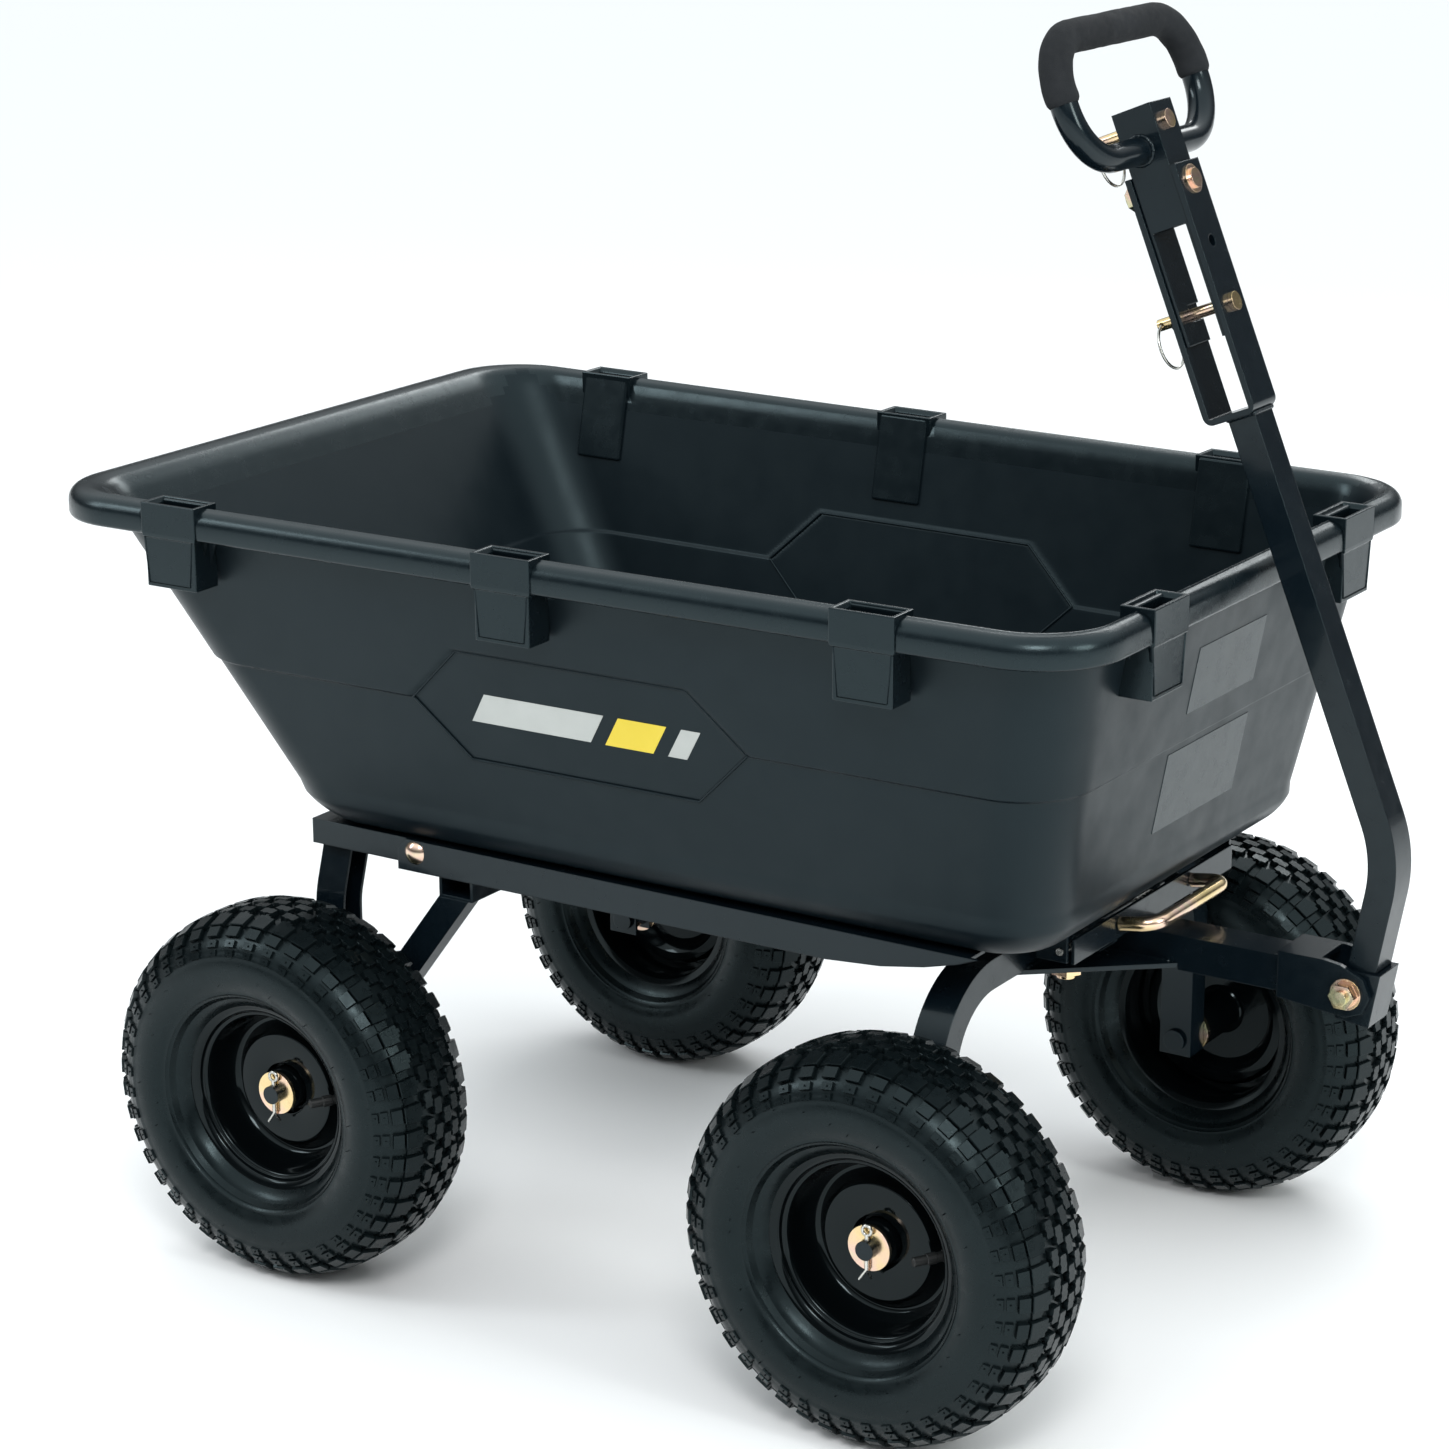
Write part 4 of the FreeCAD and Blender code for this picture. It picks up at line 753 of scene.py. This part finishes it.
def tyre_mesh():
    casing = Casing()
    outer = tyre_outline()
    bead_y, bead_r = 0.0330, 0.0775
    inner = [(y * 0.86, r - 0.0075) for y, r in reversed(outer[6:-6])]
    lower = [(bead_y, 0.0895), (bead_y, bead_r), (bead_y - 0.008, bead_r), (bead_y - 0.009, 0.0885)]
    profile = outer + lower + inner + [(-y, r) for y, r in reversed(lower)]
    detailed = []
    for y, r in profile:
        away = max((0.0009 * math.exp(-((r - ring) / 0.0011) ** 2) for ring in (0.0955, 0.0985, 0.1330)))
        detailed.append((y + math.copysign(away, y) if abs(y) > 0.045 else y, r))
    verts, faces = turned(detailed, TYRE_STEPS)
    pitch = 2 * math.pi / LUG_COUNT
    shapes = lug_shapes()
    for k in range(LUG_COUNT):
        for outline, lift in shapes:
            count = len(outline)
            base = len(verts)
            middle_a = sum(a for a, _ in outline) / count
            middle_b = sum(b for _, b in outline) / count
            for height, taper in ((-0.0012, 1.06), (lift - 0.0005, 0.98), (lift, 0.93)):
                for a, b in outline:
                    across = middle_a + (a - middle_a) * taper
                    y, r = casing.at(across, height)
                    angle = (k + middle_b + (b - middle_b) * taper) * pitch
                    verts.append((r * math.sin(angle), y, r * math.cos(angle)))
            faces.extend(ring_faces(3, count, first_ring=base))
            faces.append(tuple(range(base + 2 * count, base + 3 * count)))
            faces.append(tuple(reversed(range(base, base + count))))
    return verts, faces


def nub_mesh(seed):
    """The short rubber hairs that the mould's vents leave."""
    casing = Casing()
    dice = random.Random(seed)
    verts, faces = [], []
    for side in (1, -1):
        for k in range(NUBS_ROUND):
            angle = 2 * math.pi * (k + dice.uniform(-0.3, 0.3)) / NUBS_ROUND
            across = side * dice.choice((0.0690, 0.0760, 0.0860, 0.0930))
            length = dice.uniform(0.0012, 0.0030)
            base = len(verts)
            for height, width in ((-0.0004, 0.00042), (length, 0.00030)):
                y, r = casing.at(across, height)
                for turn in range(5):
                    a = 2 * math.pi * turn / 5
                    spin = angle + width * math.cos(a) / r
                    verts.append((r * math.sin(spin), y + width * 0.2 * math.sin(a),
                                  r * math.cos(spin) + width * math.sin(a)))
            faces.extend(ring_faces(2, 5, first_ring=base))
            faces.append(tuple(range(base + 5, base + 10)))
            faces.append(tuple(reversed(range(base, base + 5))))
    return verts, faces


def rim_outline():
    """(y, radius) of the pressed rim, +y outboard: flange, ledge, bowl, disc, hub and back."""
    outer = curved([(0.0330, 0.0890, 0), (0.0350, 0.0900, 0), (0.0368, 0.0888, 0), (0.0370, 0.0862, 0),
                    (0.0352, 0.0825, 0), (0.0340, 0.0790, 0), (0.0322, 0.0766, 0), (0.0300, 0.0757, 0),
                    (0.0288, 0.0748, 0), (0.0286, 0.0732, 0), (0.0270, 0.0716, 0), (0.0225, 0.0709, 0),
                    (0.0130, 0.0700, 0), (0.0035, 0.0676, 0), (-0.0030, 0.0630, 0), (-0.0040, 0.0580, 0),
                    (0.0005, 0.0525, 0), (0.0062, 0.0500, 0), (0.0086, 0.0488, 0), (0.0090, 0.0470, 0)], 4)
    line = [(p.x, p.y) for p in outer]
    line += [(0.0090, 0.0245), (0.0086, 0.0230), (0.0070, 0.0222), (0.0020, 0.0218), (0.0010, 0.0205),
             (0.0016, 0.0192), (0.0172, 0.0190), (0.0180, 0.0184), (0.0180, 0.0162), (0.0176, 0.0160)]
    line += [(-0.0550, 0.0160), (-0.0550, 0.0190), (0.0000, 0.0190), (0.0052, 0.0230), (0.0060, 0.0470),
             (-0.0030, 0.0515), (-0.0075, 0.0580), (-0.0060, 0.0660), (0.0000, 0.0705), (0.0000, 0.0740),
             (-0.0300, 0.0745), (-0.0345, 0.0770), (-0.0365, 0.0840), (-0.0370, 0.0880), (-0.0350, 0.0900),
             (-0.0330, 0.0890), (-0.0330, 0.0772), (0.0330, 0.0772)]
    return line


def valve_mesh():
    """The stem's screw cap: a ribbed collar and a tapered end along the CAD valve."""
    sides = 24
    base = Vector((0, 0.010, -0.065))
    along = Vector((0, 0.8, 0.6))
    steps = [(0.000, 0.0050), (0.004, 0.0052), (0.0045, 0.0042), (0.010, 0.0040), (0.0105, 0.0046),
             (0.018, 0.0046), (0.0185, 0.0040), (0.0290, 0.0039), (0.0300, 0.0030)]
    side = Vector((1, 0, 0))
    other = along.cross(side)
    verts = []
    for reach, radius in steps:
        for i in range(sides):
            ripple = 1.0 + (0.05 if i % 2 else -0.03) * (0.0104 < reach < 0.0184)
            angle = 2 * math.pi * i / sides
            verts.append(base + along * reach
                         + (side * math.cos(angle) + other * math.sin(angle)) * radius * ripple)
    faces = ring_faces(len(steps), sides)
    faces += [tuple(reversed(range(sides))), tuple(range(len(verts) - sides, len(verts)))]
    return verts, faces


def make_wheels():
    """Each wheel's tread, nubs, rim and valve cap, from meshes modelled about the wheel's middle."""
    tyre = tyre_mesh()
    rim = turned(rim_outline(), RIM_STEPS)
    valve = valve_mesh()
    for seed, (name, tread_turn) in enumerate(TREAD_TURN.items()):
        hand = name.split("_")[1]
        facing = 0.0 if hand == "left" else math.pi
        stand = Matrix.Translation(JOINTS[name + "_wheel_spin"]["pos_m"]) @ Matrix.Rotation(facing, 4, "Z")
        tread_by = stand @ Matrix.Rotation(math.radians(tread_turn), 4, "Y")
        valve_by = stand @ Matrix.Rotation(math.radians(VALVE_TURN[hand]), 4, "Y")

        def wheel_piece(label, mesh, by, finish, smooth=True):
            verts, faces = mesh
            return piece(name + label, [by @ Vector(v) for v in verts], faces, finish, name + "_wheel",
                         smooth)

        made = wheel_piece("_tread", tyre, tread_by, "tyre_rubber", smooth=False)
        shade_by_angle(made)
        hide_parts(name + "_tyre")
        wheel_piece("_nubs", nub_mesh(seed), tread_by, "tyre_rubber")
        made = wheel_piece("_wheel_rim", rim, stand, "rim_paint")
        shade_by_angle(made, 40)
        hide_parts(name + "_rim")
        shade_by_angle(wheel_piece("_valve", valve, valve_by, "tube_rubber"))


def shade_by_angle(made, degrees=32):
    """Smooth shading with sharp edges kept where faces turn by more than the angle."""
    made.data.polygons.foreach_set("use_smooth", [True] * len(made.data.polygons))
    made.data.set_sharp_from_angle(angle=math.radians(degrees))


# ---------------------------------------------------------------- grip
PIVOT = Vector(JOINTS["grip_fold"]["pos_m"])
AHEAD = Vector(JOINTS["lock_pin_pull"]["axis"]).normalized()
LEFT = Vector((0, 1, 0))
UP = AHEAD.cross(LEFT)
LOOP_SET_BACK = -0.003             # plane of the D loop, from the middle of its block
LOOP_LOW = 0.033
FOAM_THIN, FOAM_GAIN = 0.0112, 0.0020      # radius at the ends, and what it gains over the middle


def on_handle(ahead, left, up):
    return PIVOT + AHEAD * ahead + LEFT * left + UP * up


def make_foam_grip():
    """Foam sleeve on the top of the D loop, slightly swollen, with soft round ends."""
    half, top, low, bend = 0.110, 0.131, 0.081, 0.042
    corners = [on_handle(LOOP_SET_BACK, -half, low), on_handle(LOOP_SET_BACK, -half, top),
               on_handle(LOOP_SET_BACK, half, top), on_handle(LOOP_SET_BACK, half, low)]
    path = rounded_line(corners, bend, 22)
    dense = []
    for a, b in zip(path, path[1:]):
        steps = max(1, round((b - a).length / 0.003))
        dense.extend(a.lerp(b, k / steps) for k in range(steps))
    dense.append(path[-1])

    def radius_at(share, angle):
        end = min(share, 1 - share)
        ending = smoothstep(-0.004, 0.014, end)
        swell = 0.0004 * noise.noise(Vector((share * 24, math.cos(angle) * 1.3, math.sin(angle) * 1.3)))
        return FOAM_THIN + FOAM_GAIN * ending + swell

    verts, faces = tube(dense, radius_at, 28)
    made = piece("foam_sleeve", verts, faces, "foam", "grip")
    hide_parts("foam_grip")


# ---------------------------------------------------------------- welds
def weld_bead(name, corners, body, radius, closed=False):
    """A rippled weld bead along straight runs between the corners."""
    spacing = 0.0011
    path = []
    for a, b in zip(corners, corners[1:] + corners[:1] if closed else corners[1:]):
        steps = max(2, round((b - a).length / spacing))
        path.extend(a.lerp(b, k / steps) for k in range(steps))
    if not closed:
        path.append(corners[-1])
    count = len(path)

    def radius_at(share, angle):
        ripple = abs(math.sin(share * count * math.pi / 4))
        return radius * (0.78 + 0.30 * ripple)

    verts, faces = tube(path, radius_at, 10, closed)
    piece(name, verts, faces, "frame_paint", body)


def circle_points(centre, across, up, radius):
    steps = 28
    return [centre + across * radius * math.cos(2 * math.pi * k / steps)
            + up * radius * math.sin(2 * math.pi * k / steps) for k in range(steps)]


def make_welds():
    """Beads where the D loop, spindles, tongue, gusset and yoke are welded on."""
    x_axis, z_axis = Vector((1, 0, 0)), Vector((0, 0, 1))
    tongue_low, tongue_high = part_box("tongue")
    face, tongue_side, tongue_top = tongue_low.x, tongue_high.y, tongue_high.z
    block_side, spindle_y, gusset_z, yoke_end = 0.0184, 0.2363, 0.331, -0.187
    proud = 0.0004                    # a bead's line stands this far off the faces it joins
    for side, hand in ((1, "left"), (-1, "right")):
        loop_end = on_handle(LOOP_SET_BACK, side * block_side, LOOP_LOW)
        weld_bead("loop_weld_" + hand, circle_points(loop_end, AHEAD, UP, 0.0114), "grip", 0.0019, True)
        for end, body in (("rear", "bed"), ("front", "front_axle")):
            centre = Vector(JOINTS["%s_%s_wheel_spin" % (end, hand)]["pos_m"])
            centre.y = side * spindle_y
            weld_bead("spindle_weld_%s_%s" % (end, hand), circle_points(centre, x_axis, z_axis, 0.0088),
                      body, 0.0016, True)
    foot = tongue_low.z + 0.008
    weld_bead("tongue_weld", [Vector((face, -tongue_side, foot)), Vector((face, -tongue_side, tongue_top)),
                              Vector((face, tongue_side, tongue_top)), Vector((face, tongue_side, foot))],
              "front_axle", 0.0024)
    for side, hand in ((1, "left"), (-1, "right")):
        weld_bead("gusset_weld_" + hand, [Vector((face, side * 0.0215, gusset_z + proud)),
                                          Vector((face, side * 0.097, gusset_z + proud))],
                  "front_axle", 0.0020)
        weld_bead("gusset_tongue_weld_" + hand,
                  [Vector((face + reach, side * (tongue_side + proud), gusset_z))
                   for reach in (0.003, 0.090)],
                  "front_axle", 0.0018)
    half, deep = 0.0152, 0.0122
    ring = [on_handle(0.007 + a * deep, b * half, yoke_end - 0.0002)
            for a, b in ((-1, -1), (1, -1), (1, 1), (-1, 1))]
    weld_bead("yoke_weld", ring, "handle", 0.0018, True)


# ---------------------------------------------------------------- CAD nodes' finishes
def dress_frame_nodes():
    """Every CAD node takes its slot's finish, the hidden ones too."""
    for entry in frame["record"]["subparts"]:
        mesh = frame["nodes"][entry["node"]].data
        mesh.materials.clear()
        mesh.materials.append(MATERIALS[entry["material_slot"]])


make_camera()
make_studio()
dress_frame_nodes()
make_tub()
for number, spot in enumerate(pocket_places(), start=1):
    stake_pocket(number, *spot)
    pocket_panel(number, *spot)
panel_ridges()
make_markings()
make_wheels()
make_foam_grip()
make_welds()

bpy.context.view_layer.update()
